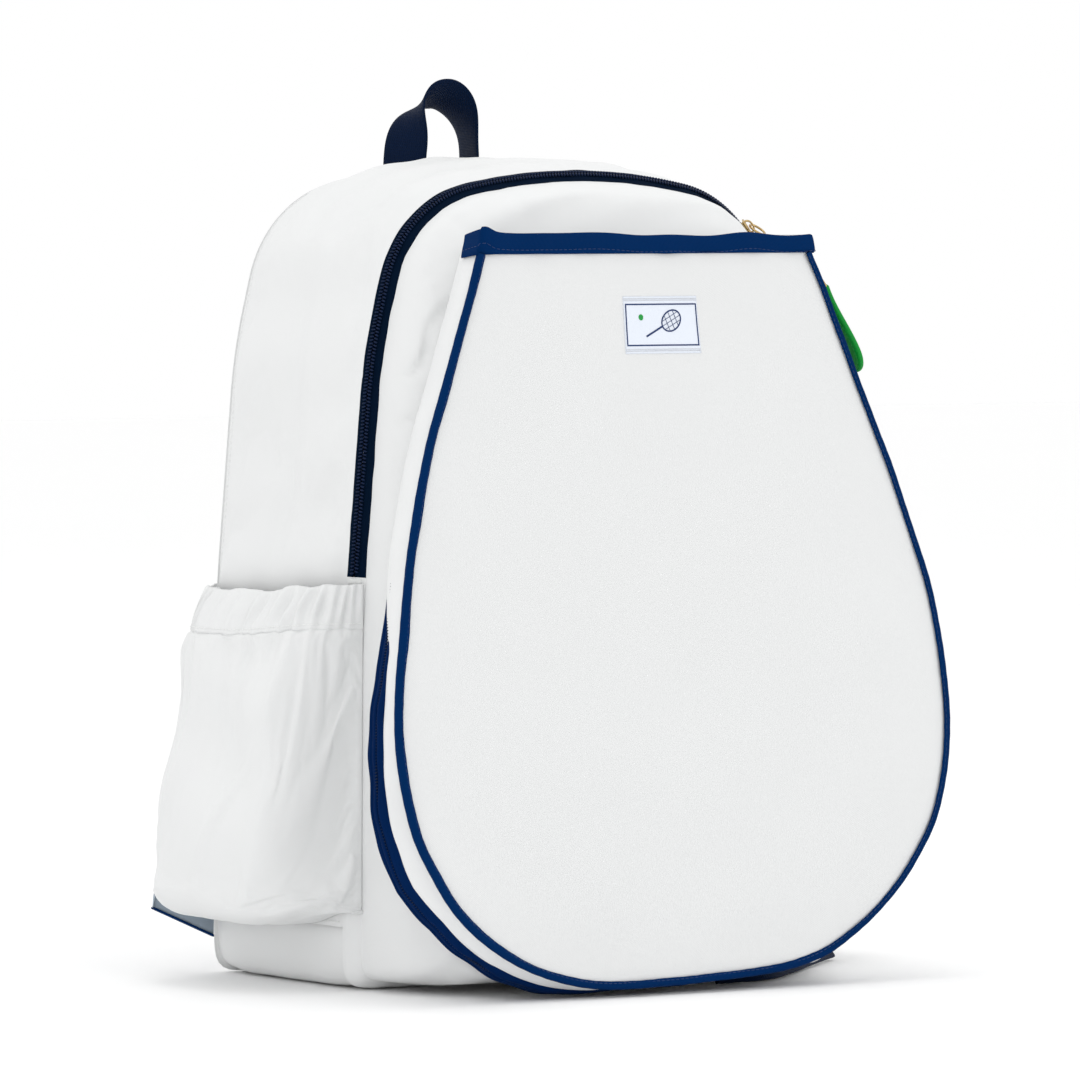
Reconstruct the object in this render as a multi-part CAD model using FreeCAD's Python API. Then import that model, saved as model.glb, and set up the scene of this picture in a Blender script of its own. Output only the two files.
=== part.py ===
import FreeCAD, Part
import math
import os

V = FreeCAD.Vector

# A racket backpack. Millimetres, +Z up, origin at the middle of the base.
# The front, with the racket sleeve, faces -Y; the straps are at +Y; the wearer's right is +X.

# Main compartment: an arch-shaped outline with a gusset round it.
HALF_DEPTH = 63.0           # back seam and zip plane, from the middle
FAR = 400.0                 # beyond the whole object, for cutting blocks
ARCH_SIDE = [(140.0, 0.0), (139.0, 190.0), (127.5, 322.0), (108.0, 401.0)]
ARCH_SIDE_RADII = [28.0, 800.0, 300.0, 66.0]
ARCH_TOP = 423.0
ARCH_TOP_RADIUS = 330.0
FABRIC = 1.4                # nylon with its coating and seam allowance
LINING = 0.6
LINING_SETBACK = 6.0        # the lining's front edge, behind the zip plane
SEAM_HEIGHT = 32.0          # where the base panel meets the gusset
STIFFENER_HALF = (108.0, 54.0)
STIFFENER_THICK = 2.0

# Back panel: foam in a cover, behind the back seam.
BACK_FRONT = HALF_DEPTH
BACK_REAR = HALF_DEPTH + 9.0
BACK_BEVEL = 10.0           # how much smaller its rear face is
YOKE = (74.0, 372.0, 402.0, 1.0)    # half width, lower and upper edge, thickness

# Main zip: lies on a bevel between the gusset and the front panel.
BEVEL_INSET = 6.2
BEVEL_DEPTH = 9.3
ZIP_END = 207.0             # height of both ends of the zip
TAPE = 0.8
COIL = 1.5
COIL_WIDTH = 1.7
COIL_GAP = 1.0              # room for the slider's web
ZIP_LINE = 4.6              # middle of the coil, measured down the bevel
SEAM_OVERLAP = 0.7          # the outer tape starts this far down, under the gusset's edge
STOP_BAND = (2.0, 8.0, 0.05, 0.9)   # bartack at a zip end: down0, down1, out0, out1
STOP_BELOW = (6.0, 2.0)     # its lower and upper edge, below the zip's end

# Front panel: a dome that ends in a flat, which leans back with the sleeve.
LEAN = math.radians(7.3)
FOOT_Y = -149.0             # where the leaning plane meets the ground
DOME_INSETS = [6.2, 8.5, 14.0, 23.0, 33.0, 43.0]
DOME_BOTTOM = (3.0, 16.0)   # height of the dome's lower edge, back and front

# Top flap: the part of the front panel that folds forward when the zip is open.
FLAP_HALF = 80.0
FLAP_FOLD_Z = 376.0
JOINT_GAP = 0.4

# Racket sleeve: a teardrop on the leaning plane.
SLEEVE_SIDE = [(170.0, 2.0), (170.0, 194.5), (108.3, 378.0)]
SLEEVE_RADII = [129.0, 380.0, 0.0]
SLEEVE_DEPTH = 22.0
SLEEVE_ZIP_END = 220.0      # the sleeve's zip stops here on the left
SLEEVE_ZIP_MIDDLE = 7.5     # depths from the back panel outwards, and insets from the outline
SLEEVE_TAPE = (0.5, 1.3)
SLEEVE_COIL = (-0.7, 1.3)
SLEEVE_COIL_OUT = 0.7
SLEEVE_TAPE_IN = -1.3
COIL_REACH = (0.5, 1.2)     # near and far side of each coil, from the zip's middle
PIPING_TOP = 3.2
GUSSET_START = 11.0
PANEL_BACK = 20.2
BINDING = 0.9
BINDING_LIP = 5.2
MOUTH_TOP = 378.0
MOUTH_BINDING = 12.0
MOUTH_CAP = 1.0
LEFT_RETURN = 6.0           # how far back the mouth binding goes round the left gusset
LABEL_X, LABEL_UP = 10.0, 336.0
LABEL_WIDTH, LABEL_HEIGHT, LABEL_THICK = 48.0, 27.0, 0.8

# Side pockets: height above the base and how far each level stands out.
POCKET_LEVELS = [(32.0, 24.0), (36.0, 40.0), (46.0, 56.0), (62.0, 60.0), (90.0, 57.0),
                 (126.0, 49.0), (172.0, 33.0), (197.0, 17.0)]
POCKET_HALF = 61.0
POCKET_HEM = 22.0
POCKET_POWER = 2.6          # squareness of a level's outline

# Sliders: two plates with a web between the coils, and a bridge that holds a ring.
SLIDER_LENGTH = 9.0
SLIDER_WIDTH = 6.8
SLIDER_CLEAR = 0.5          # between the coil or tape and a plate
SLIDER_TOP = 1.1            # plate thicknesses
SLIDER_BOTTOM = 0.9
SLIDER_WEB = 0.4
BRIDGE = (8.0, 1.4, 4.2)    # length, width and height over the top plate
WINDOW = (5.2, 3.2)         # its window's length and height
RING_SEAT = 2.15            # the ring's middle, over the top plate's lower face
RING_RADIUS = 4.5
RING_WIRE = 0.6
RING_TILT = 28.0
UPPER_ANGLE = 39.0          # places of the main sliders round the right shoulder
LOWER_ANGLE = 29.8
SLEEVE_SLIDER_UP = 361.0
TAG_LENGTH, TAG_WIDTH, TAG_THICK = 46.0, 20.0, 3.0
TAG_NECK = 2.2
TAG_TILT = 12.0

# Grab handle and shoulder straps.
WEBBING = 25.0
WEBBING_THICK = 1.6
HANDLE_FOLD_Z = 416.4
HANDLE_SWING = math.radians(50.0)
HANDLE_HALF = 20.0          # half the distance between the legs
HANDLE_HEIGHT = 38.0
HANDLE_LEFT = (0.5, -0.87, 0.0)     # from the webbing's rear edge to its front edge
HANDLE_TOP = (0.0, -0.8, 0.6)
HANDLE_RIGHT = (-0.17, -0.98, 0.0)
HANDLE_STEPS = 12
STRAP_TOP = (38.0, 78.5, 394.0)
STRAP_FOOT = (168.0, 68.0, 44.0)
STRAP_ROOT_CUT = 40.0       # along the strap's swing axis, from its top
STRAP_FOOT_CUT = 12.0       # the same, from its foot
PAD_THICK = 11.0
PAD_STATIONS = [((38, 78.5, 394), 56), ((43, 93, 382), 58), ((51, 107, 356), 60), ((64, 115, 305), 60),
                ((76, 115, 250), 58), ((87, 106, 200), 50), ((96, 94, 160), 36)]
WEB_STATIONS = [(168, 70, 47), (155, 80, 76), (130, 86, 112), (101.5, 88.3, 139.5)]
LOCK_HALF = (17.0, 9.0, 2.2)        # half of the ladder lock's width, length and thickness
LOCK_AWAY = 9.4                     # its middle, beyond the pad's end
LOCK_SLOT = (13.5, 2.0, 6.0)        # a slot's half width, and its edges from the middle
ANCHOR_CORNERS = [(136.6, 27.0), (171.0, 41.0), (169.0, 52.0), (136.6, 66.0)]
ANCHOR_BACK = (66.5, 69.5)          # its front and rear face


# ---- outlines ---------------------------------------------------------------

def offset_corners(corners, insets):
    """Corners of a convex outline with each edge moved inwards by its own inset."""
    count = len(corners)
    lines = []
    for i in range(count):
        ax, ay = corners[i]
        bx, by = corners[(i + 1) % count]
        length = math.hypot(bx - ax, by - ay)
        nx, ny = -(by - ay) / length, (bx - ax) / length
        lines.append((nx, ny, nx * ax + ny * ay + insets[i]))
    out = []
    for i in range(count):
        a, b, c = lines[i - 1]
        d, e, f = lines[i]
        det = a * e - b * d
        out.append(((c * e - b * f) / det, (a * f - c * d) / det))
    return out


def rounded_wire(corners, radii, place):
    """Closed wire through rounded corners; place turns two coordinates into a point."""
    count = len(corners)
    arcs = []
    for i in range(count):
        corner = V(corners[i][0], corners[i][1], 0)
        before = V(*corners[i - 1], 0).sub(corner).normalize()
        after = V(*corners[(i + 1) % count], 0).sub(corner).normalize()
        radius = radii[i]
        if radius <= 0:
            arcs.append((corner, None, corner))
            continue
        half = before.getAngle(after) / 2
        reach = radius / math.tan(half)
        bisector = (before + after).normalize()
        middle = corner + bisector * (radius / math.sin(half) - radius)
        arcs.append((corner + before * reach, middle, corner + after * reach))
    edges = []
    for i in range(count):
        start, middle, end = arcs[i]
        if middle is not None:
            edges.append(Part.Arc(*[place(p.x, p.y) for p in (start, middle, end)]).toShape())
        follow = arcs[(i + 1) % count][0]
        edges.append(Part.makeLine(place(end.x, end.y), place(follow.x, follow.y)))
    return Part.Wire(edges)


def mirrored(side, top=None):
    """Corners from bottom right, over the top, to bottom left."""
    middle = [top] if top is not None else []
    return side + middle + [(-x, z) for x, z in reversed(side)]


def arch_wire(y, inset=0.0, bottom=None, slope=0.0):
    """The arch outline at a depth, moved inwards; slope leans its plane."""
    bottom = inset if bottom is None else bottom
    corners = mirrored(ARCH_SIDE, (0.0, ARCH_TOP))
    insets = [inset] * (len(corners) - 1) + [bottom]
    side = [ARCH_SIDE_RADII[0] - bottom] + [r - inset for r in ARCH_SIDE_RADII[1:]]
    radii = side + [ARCH_TOP_RADIUS - inset] + side[::-1]
    return rounded_wire(offset_corners(corners, insets), radii, lambda x, z: V(x, y + slope * z, z))


def loft(wires):
    return Part.makeLoft(wires, True, True)


def block(x0, x1, y0, y1, z0, z1):
    return Part.makeBox(x1 - x0, y1 - y0, z1 - z0, V(x0, y0, z0))


def above(z):
    return block(-FAR, FAR, -FAR, FAR, z, 2 * FAR)


def below(z):
    return block(-FAR, FAR, -FAR, FAR, -FAR, z)


def mirror_x(shape):
    return shape.mirror(V(0, 0, 0), V(1, 0, 0))


# ---- main compartment -------------------------------------------------------

def arch_block(inset, y0, y1):
    return Part.Face(arch_wire(y0, inset)).extrude(V(0, y1 - y0, 0))


def gusset_ring():
    return arch_block(0.0, -HALF_DEPTH, HALF_DEPTH).cut(arch_block(FABRIC, -HALF_DEPTH, HALF_DEPTH))


def main_gusset():
    return gusset_ring().common(above(SEAM_HEIGHT))


def base_panel():
    return gusset_ring().common(below(SEAM_HEIGHT))


def gusset_lining():
    front = -HALF_DEPTH + LINING_SETBACK
    outer = arch_block(FABRIC + 0.1, front, HALF_DEPTH - 1.2)
    return outer.cut(arch_block(FABRIC + 0.1 + LINING, front, HALF_DEPTH - 1.2))


def base_stiffener():
    half_x, half_y = STIFFENER_HALF
    low = FABRIC + LINING + 0.4
    return block(-half_x, half_x, -half_y, half_y, low, low + STIFFENER_THICK)


def back_block(shrink, y0, y1):
    return loft([arch_wire(y0, shrink), arch_wire(y1, shrink + BACK_BEVEL)])


def back_panel_cover():
    return back_block(0.0, BACK_FRONT, BACK_REAR).cut(back_block(FABRIC, BACK_FRONT, BACK_REAR - FABRIC))


def back_foam_pad():
    return back_block(FABRIC + 0.2, BACK_FRONT + 0.1, BACK_REAR - FABRIC - 0.2)


def back_lining():
    return arch_block(FABRIC + 0.8, HALF_DEPTH - 1.0, HALF_DEPTH)


# ---- front panel, zip and flap ----------------------------------------------

def dome_sections(thick):
    """Arch outlines from the bevel to the leaning flat; thick is the inner face's offset."""
    first, last = DOME_INSETS[0], DOME_INSETS[-1]
    wires = []
    for inset in DOME_INSETS:
        part = (inset - first) / (last - first)
        rise = math.sqrt(1.0 - (1.0 - part) ** 2)
        bottom = DOME_BOTTOM[0] + part * (DOME_BOTTOM[1] - DOME_BOTTOM[0])
        back = -HALF_DEPTH - BEVEL_DEPTH
        y = back + rise * (FOOT_Y + thick - back)
        wires.append(arch_wire(y, inset + thick, bottom + thick, rise * math.tan(LEAN)))
    return wires


def dome_shell():
    back = -HALF_DEPTH - BEVEL_DEPTH
    mouth = arch_wire(back + 4.0, DOME_INSETS[0] + FABRIC, DOME_BOTTOM[0] + FABRIC)
    return loft(dome_sections(0.0)).cut(loft([mouth] + dome_sections(FABRIC)))


def bevel_point(down, out):
    """Inset and depth of a point on the bevel: down from the gusset, out from its face."""
    length = math.hypot(BEVEL_INSET, BEVEL_DEPTH)
    a, b = BEVEL_INSET / length, BEVEL_DEPTH / length
    return down * a - out * b, -HALF_DEPTH - down * b - out * a


def bevel_loft(points):
    """Solid through arch outlines at points given as (down, out) on the bevel."""
    wires = []
    for down, out in points:
        inset, y = bevel_point(down, out)
        wires.append(arch_wire(y, inset))
    return loft(wires)


def bevel_end(down):
    """Everything further down the bevel than a line square to its face."""
    return bevel_loft([(down, -14.0), (down, 14.0)])


def bevel_band(down0, down1, out0, out1):
    """A band on the bevel, all the way round."""
    face = bevel_loft([(down0 - 3.0, out1), (down1 + 3.0, out1)])
    under = bevel_loft([(down0 - 6.0, out0), (down1 + 6.0, out0)])
    return face.cut(under).common(bevel_end(down0)).cut(bevel_end(down1))


def lower_bevel():
    """The bevel below the zip, which is plain fabric."""
    wires = [arch_wire(-HALF_DEPTH), arch_wire(-HALF_DEPTH - BEVEL_DEPTH, BEVEL_INSET, DOME_BOTTOM[0])]
    step = FABRIC / BEVEL_DEPTH
    inner = [arch_wire(-HALF_DEPTH + 1.0, FABRIC - step * BEVEL_INSET, FABRIC - step),
             arch_wire(-HALF_DEPTH - BEVEL_DEPTH - 1.0, BEVEL_INSET + FABRIC, DOME_BOTTOM[0] + FABRIC)]
    return loft(wires).cut(loft(inner)).common(below(ZIP_END))


def flap_region(gap):
    return block(-FLAP_HALF - gap, FLAP_HALF + gap, -160, -60, FLAP_FOLD_Z + 0.3 - gap, 460)


def front_panel():
    return dome_shell().cut(flap_region(JOINT_GAP)).fuse(lower_bevel()).removeSplitter()


def flap_panel():
    return dome_shell().common(flap_region(0.0))


def zip_piece(down0, down1, out0, out1):
    return bevel_band(down0, down1, out0, out1).common(above(ZIP_END + 0.2))


def outer_tape():
    return zip_piece(SEAM_OVERLAP, ZIP_LINE - COIL_GAP / 2, -TAPE, 0.0)


def outer_coil():
    end = ZIP_LINE - COIL_GAP / 2
    return zip_piece(end - COIL_WIDTH, end, 0.0, COIL)


def inner_tape():
    return zip_piece(ZIP_LINE + COIL_GAP / 2, math.hypot(BEVEL_INSET, BEVEL_DEPTH), -TAPE, 0.0)


def inner_coil():
    start = ZIP_LINE + COIL_GAP / 2
    return zip_piece(start, start + COIL_WIDTH, 0.0, COIL)


def zip_end_stops():
    low, high = STOP_BELOW
    return bevel_band(*STOP_BAND).common(above(ZIP_END - low)).common(below(ZIP_END - high))


# ---- side pockets -----------------------------------------------------------

def wall_x(z):
    """Outer face of the gusset beside the pocket."""
    return ARCH_SIDE[0][0] - (ARCH_SIDE[0][0] - ARCH_SIDE[1][0]) * z / ARCH_SIDE[1][1]


def pocket_wire(z, reach, half, back):
    """One level of a pocket: a squared half-oval, closed along the gusset."""
    wall = wall_x(z) + 0.05
    points = []
    for step in range(13):
        angle = math.pi * step / 12
        c, s = math.cos(angle), math.sin(angle)
        along = math.copysign(abs(c) ** (2 / POCKET_POWER), c)
        points.append(V(wall + reach * abs(s) ** (2 / POCKET_POWER), half * along, z))
    curve = Part.BSplineCurve()
    curve.interpolate(points)
    first, last = V(wall - back, half, z), V(wall - back, -half, z)
    if back:
        return Part.Wire([Part.makeLine(first, points[0]), curve.toShape(),
                          Part.makeLine(points[-1], last), Part.makeLine(last, first)])
    return Part.Wire([curve.toShape(), Part.makeLine(points[-1], points[0])])


def pocket_shell():
    outer = loft([pocket_wire(z, reach, POCKET_HALF, 0.0) for z, reach in POCKET_LEVELS])
    inner_levels = [(z, reach - FABRIC) for z, reach in POCKET_LEVELS]
    inner_levels[0] = (POCKET_LEVELS[0][0] + FABRIC, POCKET_LEVELS[0][1])
    inner_levels.append((POCKET_LEVELS[-1][0] + 3.0, POCKET_LEVELS[-1][1] - FABRIC))
    inner = loft([pocket_wire(z, reach, POCKET_HALF - FABRIC, 2.0) for z, reach in inner_levels])
    return outer.cut(inner)


def side_pocket():
    return pocket_shell().common(below(POCKET_LEVELS[-1][0] - POCKET_HEM))


def pocket_hem():
    return pocket_shell().common(above(POCKET_LEVELS[-1][0] - POCKET_HEM))


# ---- racket sleeve ----------------------------------------------------------

UP = V(0, math.sin(LEAN), math.cos(LEAN))
OUT = V(0, -math.cos(LEAN), math.sin(LEAN))
FOOT = V(0, FOOT_Y, 0)


def leaning(x, up, out=0.0):
    return FOOT + V(x, 0, 0) + UP * up + OUT * out


def sleeve_plate(inset, out0, out1, mouth=0.0):
    corners = mirrored(SLEEVE_SIDE)
    insets = [inset, inset, mouth, inset, inset, inset]
    side = [r - inset if r else 0.0 for r in SLEEVE_RADII]
    moved = offset_corners(corners, insets)
    wire = rounded_wire(moved, side + side[::-1], lambda x, up: leaning(x, up, out0))
    return Part.Face(wire).extrude(OUT * (out1 - out0))


def sleeve_ring(inset0, inset1, out0, out1):
    """A rim round the teardrop, open at the mouth."""
    return sleeve_plate(inset0, out0, out1).cut(sleeve_plate(inset1, out0 - 1, out1 + 1, -5.0))


def leaning_block(x0, x1, up0, up1, out0, out1):
    corners = [leaning(x, up, out0) for x, up in ((x0, up0), (x1, up0), (x1, up1), (x0, up1))]
    return Part.Face(Part.makePolygon(corners + corners[:1])).extrude(OUT * (out1 - out0))


def fixed_corner(gap):
    """The left upper side, where the cover is sewn on and the zip doesn't run."""
    return leaning_block(-FAR, 0, SLEEVE_ZIP_END - gap, 2 * FAR, -60, 60)


def zip_rim(inset0, inset1, out0, out1):
    return sleeve_ring(inset0, inset1, out0, out1).cut(fixed_corner(0.4))


def sleeve_back_panel():
    return sleeve_plate(2.5, 0.0, 1.8)


def sleeve_back_piping():
    return zip_rim(-0.6, 2.4, 0.0, PIPING_TOP)


def sleeve_zip_tape_back():
    return zip_rim(*SLEEVE_TAPE, PIPING_TOP, SLEEVE_ZIP_MIDDLE - COIL_REACH[1])


def sleeve_zip_coil_back():
    near, far = COIL_REACH
    return zip_rim(*SLEEVE_COIL, SLEEVE_ZIP_MIDDLE - far, SLEEVE_ZIP_MIDDLE - near)


def sleeve_zip_coil_front():
    near, far = COIL_REACH
    return zip_rim(*SLEEVE_COIL, SLEEVE_ZIP_MIDDLE + near, SLEEVE_ZIP_MIDDLE + far)


def sleeve_zip_tape_front():
    return zip_rim(*SLEEVE_TAPE, SLEEVE_ZIP_MIDDLE + COIL_REACH[1], GUSSET_START)


def sleeve_gusset():
    low = sleeve_ring(0.4, 1.8, GUSSET_START, PANEL_BACK)
    corner = sleeve_ring(0.4, 1.8, 0.4, GUSSET_START).common(fixed_corner(0.0))
    return low.fuse(corner).removeSplitter()


def sleeve_front_panel():
    return sleeve_plate(0.4, PANEL_BACK, SLEEVE_DEPTH)


def sleeve_front_foam():
    return sleeve_plate(2.2, PANEL_BACK - 2.0, PANEL_BACK - 0.1)


def sleeve_front_lining():
    return sleeve_plate(2.2, PANEL_BACK - 2.6, PANEL_BACK - 2.1)


def mouth_strip(gap, top=40.0):
    return leaning_block(-FAR, FAR, MOUTH_TOP - MOUTH_BINDING - gap, MOUTH_TOP + top, -60, 60)


def sleeve_front_binding():
    rim = sleeve_ring(-BINDING, 0.4, PANEL_BACK - 2.0, SLEEVE_DEPTH + BINDING)
    lip = sleeve_ring(0.4, BINDING_LIP, SLEEVE_DEPTH, SLEEVE_DEPTH + BINDING)
    return rim.fuse(lip).cut(mouth_strip(0.1)).removeSplitter()


def mouth_return(side, start):
    """The binding's end, folded round the gusset; start is how far back it reaches."""
    skin = sleeve_ring(-BINDING, 0.4, start, SLEEVE_DEPTH).common(mouth_strip(0.0))
    x0, x1 = (0, FAR) if side > 0 else (-FAR, 0)
    return skin.common(leaning_block(x0, x1, 0, 2 * FAR, -60, 60))


def sleeve_mouth_binding():
    front = sleeve_plate(-BINDING, SLEEVE_DEPTH, SLEEVE_DEPTH + BINDING).common(mouth_strip(0.0))
    half = SLEEVE_SIDE[-1][0]
    top = MOUTH_TOP + MOUTH_CAP
    cap = leaning_block(-half, half, MOUTH_TOP, top, PANEL_BACK - 2.6, SLEEVE_DEPTH + BINDING)
    shape = front.fuse(cap)
    shape = shape.fuse(mouth_return(1, GUSSET_START + 0.4))
    return shape.fuse(mouth_return(-1, LEFT_RETURN)).removeSplitter()


def label_patch():
    half_w, half_h = LABEL_WIDTH / 2, LABEL_HEIGHT / 2
    return leaning_block(LABEL_X - half_w, LABEL_X + half_w, LABEL_UP - half_h, LABEL_UP + half_h,
                         SLEEVE_DEPTH, SLEEVE_DEPTH + LABEL_THICK)


# ---- sliders and pulls ------------------------------------------------------

def placed(shape, origin, along, across, out):
    """Moves a shape from its own axes to a place: X along, Y across, Z out."""
    m = FreeCAD.Matrix(along.x, across.x, out.x, origin.x,
                       along.y, across.y, out.y, origin.y,
                       along.z, across.z, out.z, origin.z, 0, 0, 0, 1)
    return shape.transformGeometry(m)


def slider(coil_top, tape_bottom):
    """A zip slider on its own axes: two plates, the web between the coils, and the bridge."""
    half_l, half_w, half_web = SLIDER_LENGTH / 2, SLIDER_WIDTH / 2, SLIDER_WEB / 2
    face = coil_top + SLIDER_CLEAR
    under = tape_bottom - SLIDER_CLEAR
    top = block(-half_l, half_l, -half_w, half_w, face, face + SLIDER_TOP)
    bottom = block(-half_l, half_l, -half_w, half_w, under - SLIDER_BOTTOM, under)
    web = block(-half_l, half_l, -half_web, half_web, under - 0.1, face + 0.1)
    bridge_l, bridge_w, bridge_top = BRIDGE[0] / 2, BRIDGE[1] / 2, face + BRIDGE[2]
    bridge = block(-bridge_l, bridge_l, -bridge_w, bridge_w, face + 1.0, bridge_top)
    window_l = WINDOW[0] / 2
    window = block(-window_l, window_l, -1.0, 1.0, face + SLIDER_TOP, face + WINDOW[1])
    return top.fuse([bottom, web, bridge.cut(window)]).removeSplitter()


def pull_ring(coil_top, tilt):
    """A ring through the slider's bridge, tilted out from the zip."""
    ring = Part.makeTorus(RING_RADIUS, RING_WIRE, V(-RING_RADIUS, 0, 0), V(0, 0, 1))
    ring.rotate(V(0, 0, 0), V(0, 1, 0), tilt)
    ring.translate(V(0, 0, coil_top + SLIDER_CLEAR + RING_SEAT))
    return ring


def shoulder_centre():
    """Centre of the right shoulder's arc, in X and Z."""
    corners = mirrored(ARCH_SIDE, (0.0, ARCH_TOP))
    radius = ARCH_SIDE_RADII[3]
    inner = offset_corners(corners, [radius] * len(corners))
    return inner[3]


def on_shoulder(shape, degrees):
    """Puts a shape with its own axes on the zip's line, at an angle round the right shoulder."""
    angle = math.radians(degrees)
    inset, y = bevel_point(ZIP_LINE, 0.0)
    cx, cz = shoulder_centre()
    radius = ARCH_SIDE_RADII[3] - inset
    radial = V(math.cos(angle), 0, math.sin(angle))
    along = V(-math.sin(angle), 0, math.cos(angle))
    length = math.hypot(BEVEL_INSET, BEVEL_DEPTH)
    out = radial * (BEVEL_DEPTH / length) + V(0, -1, 0) * (BEVEL_INSET / length)
    across = out.cross(along)
    origin = V(cx, y, cz) + radial * radius
    return placed(shape, origin, along, across, out)


def sleeve_side_frame(up):
    """Origin and axes on the right upper side of the sleeve, at the zip's line."""
    (x0, u0), (x1, u1) = SLEEVE_SIDE[1], SLEEVE_SIDE[2]
    x = x0 + (x1 - x0) * (up - u0) / (u1 - u0)
    along = (leaning(x1, u1) - leaning(x0, u0)).normalize()
    out = along.cross(OUT)
    if out.x < 0:
        out = out * -1
    return leaning(x, up, SLEEVE_ZIP_MIDDLE), along, out.cross(along), out


def on_sleeve_side(shape, up=SLEEVE_SLIDER_UP):
    return placed(shape, *sleeve_side_frame(up))


def tag_shape():
    """A teardrop tag below the ring, on the slider's own axes."""
    wide, neck = TAG_WIDTH / 2, TAG_NECK
    start, end = -2 * RING_RADIUS + 0.9, -2 * RING_RADIUS + 0.9 - TAG_LENGTH
    centre = end + wide
    shoulder = V(start - 9, -neck - 0.6, 0)
    flank = V(centre + 4, -wide * 0.93, 0)
    middle = V((shoulder.x + flank.x) / 2, -wide * 0.62, 0)
    low = Part.BSplineCurve()
    low.interpolate([shoulder, middle, flank])
    high = Part.BSplineCurve()
    high.interpolate([V(p.x, -p.y, 0) for p in (flank, middle, shoulder)])
    far = Part.Arc(flank, V(end, 0, 0), V(flank.x, -flank.y, 0))
    edges = [Part.makeLine(V(start, -neck, 0), shoulder), low.toShape(), far.toShape(), high.toShape(),
             Part.makeLine(V(shoulder.x, -shoulder.y, 0), V(start, neck, 0)),
             Part.makeLine(V(start, neck, 0), V(start, -neck, 0))]
    plate = Part.Face(Part.Wire(edges)).extrude(V(0, 0, TAG_THICK))
    plate.translate(V(0, 0, -TAG_THICK / 2))
    return plate


def pull_tag():
    tag = tag_shape()
    tag = tag.cut(Part.makeTorus(RING_RADIUS, RING_WIRE + 0.05, V(-RING_RADIUS, 0, 0), V(0, 0, 1)))
    tag.rotate(V(0, 0, 0), V(0, 1, 0), TAG_TILT)
    tag.translate(V(0, 0, SLEEVE_COIL_OUT + SLIDER_CLEAR + RING_SEAT))
    return tag


# ---- handle and straps ------------------------------------------------------

def strip_section(centre, across, normal, width, thick):
    a, n = across * (width / 2), normal * (thick / 2)
    corners = [centre - a - n, centre + a - n, centre + a + n, centre - a + n]
    return Part.makePolygon(corners + corners[:1])


def handle_sections():
    """Webbing that rises from the back seam and bends over, with its front edge the higher."""
    sections = []
    for step in range(HANDLE_STEPS + 1):
        angle = math.pi * (1.0 - step / HANDLE_STEPS)
        x = HANDLE_HALF * math.cos(angle)
        height = math.sin(angle)
        leg = HANDLE_LEFT if x < 0 else HANDLE_RIGHT
        across = (V(*leg) * (1 - height) + V(*HANDLE_TOP) * height).normalize()
        tangent = V(HANDLE_HALF * math.sin(angle), 0, -HANDLE_HEIGHT * math.cos(angle)).normalize()
        normal = tangent.cross(across).normalize()
        centre = V(x, HALF_DEPTH - 2.0 * height, HANDLE_FOLD_Z - 2.0 + HANDLE_HEIGHT * height)
        sections.append(strip_section(centre, across, normal, WEBBING, WEBBING_THICK))
    return sections


def grab_handle():
    """The loop, cut to a wedge at its foot so that it can fold both ways."""
    loop = loft(handle_sections())
    rise = 60.0
    reach = rise / math.tan(HANDLE_SWING)
    corners = [V(-60, HALF_DEPTH, HANDLE_FOLD_Z + 0.3), V(-60, HALF_DEPTH + reach, HANDLE_FOLD_Z + rise),
               V(-60, HALF_DEPTH - reach, HANDLE_FOLD_Z + rise)]
    wedge = Part.Face(Part.makePolygon(corners + corners[:1])).extrude(V(120, 0, 0))
    return loop.common(wedge)


def strap_frame(points, i):
    """Tangent, across and outward directions at one point of a strap."""
    ahead = V(*points[min(i + 1, len(points) - 1)])
    behind = V(*points[max(i - 1, 0)])
    tangent = (ahead - behind).normalize()
    across = V(-tangent.z, 0, tangent.x).normalize()
    normal = across.cross(tangent)
    return tangent, across, normal


def strap_pad(shrink):
    points = [p for p, width in PAD_STATIONS]
    sections = []
    for i, (point, width) in enumerate(PAD_STATIONS):
        tangent, across, normal = strap_frame(points, i)
        centre = V(*point)
        if shrink and i == 0:
            centre = centre + tangent * shrink
        if shrink and i == len(points) - 1:
            centre = centre - tangent * shrink
        sections.append(strip_section(centre, across, normal, width - 2 * shrink, PAD_THICK - 2 * shrink))
    return loft(sections)


def swing_axis():
    return (V(*STRAP_FOOT) - V(*STRAP_TOP)).normalize()


def slab(start, end):
    """Space between two planes square to the strap's swing axis, measured from its top."""
    axis = swing_axis()
    return Part.makeCylinder(FAR, end - start, V(*STRAP_TOP) + axis * start, axis)


def strap_length():
    return (V(*STRAP_FOOT) - V(*STRAP_TOP)).Length


def strap_root():
    return strap_pad(0.0).common(slab(-60.0, STRAP_ROOT_CUT - 0.5))


def moving_slab():
    return slab(STRAP_ROOT_CUT, strap_length() - STRAP_FOOT_CUT)


def strap_pad_cover():
    return strap_pad(0.0).cut(strap_pad(FABRIC)).common(moving_slab())


def strap_pad_foam():
    return strap_pad(FABRIC + 0.1).common(moving_slab())


def web_sections():
    sections = []
    for i, point in enumerate(WEB_STATIONS):
        across, normal = strap_frame(WEB_STATIONS, i)[1:]
        sections.append(strip_section(V(*point), across, normal, WEBBING, WEBBING_THICK))
    return sections


def at_pad_end(shape):
    """Puts a shape with its own axes just beyond the pad's lower end, in line with it."""
    pad_end = V(*PAD_STATIONS[-1][0])
    away = (pad_end - V(*PAD_STATIONS[-2][0])).normalize()
    across = V(-away.z, 0, away.x).normalize()
    return placed(shape, pad_end + away * LOCK_AWAY, across, away, across.cross(away))


def lock_block(grow):
    """The outside of the ladder lock, made larger all round."""
    half_w, half_l, half_t = [half + grow for half in LOCK_HALF]
    return block(-half_w, half_w, -half_l, half_l, -half_t, half_t)


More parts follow.
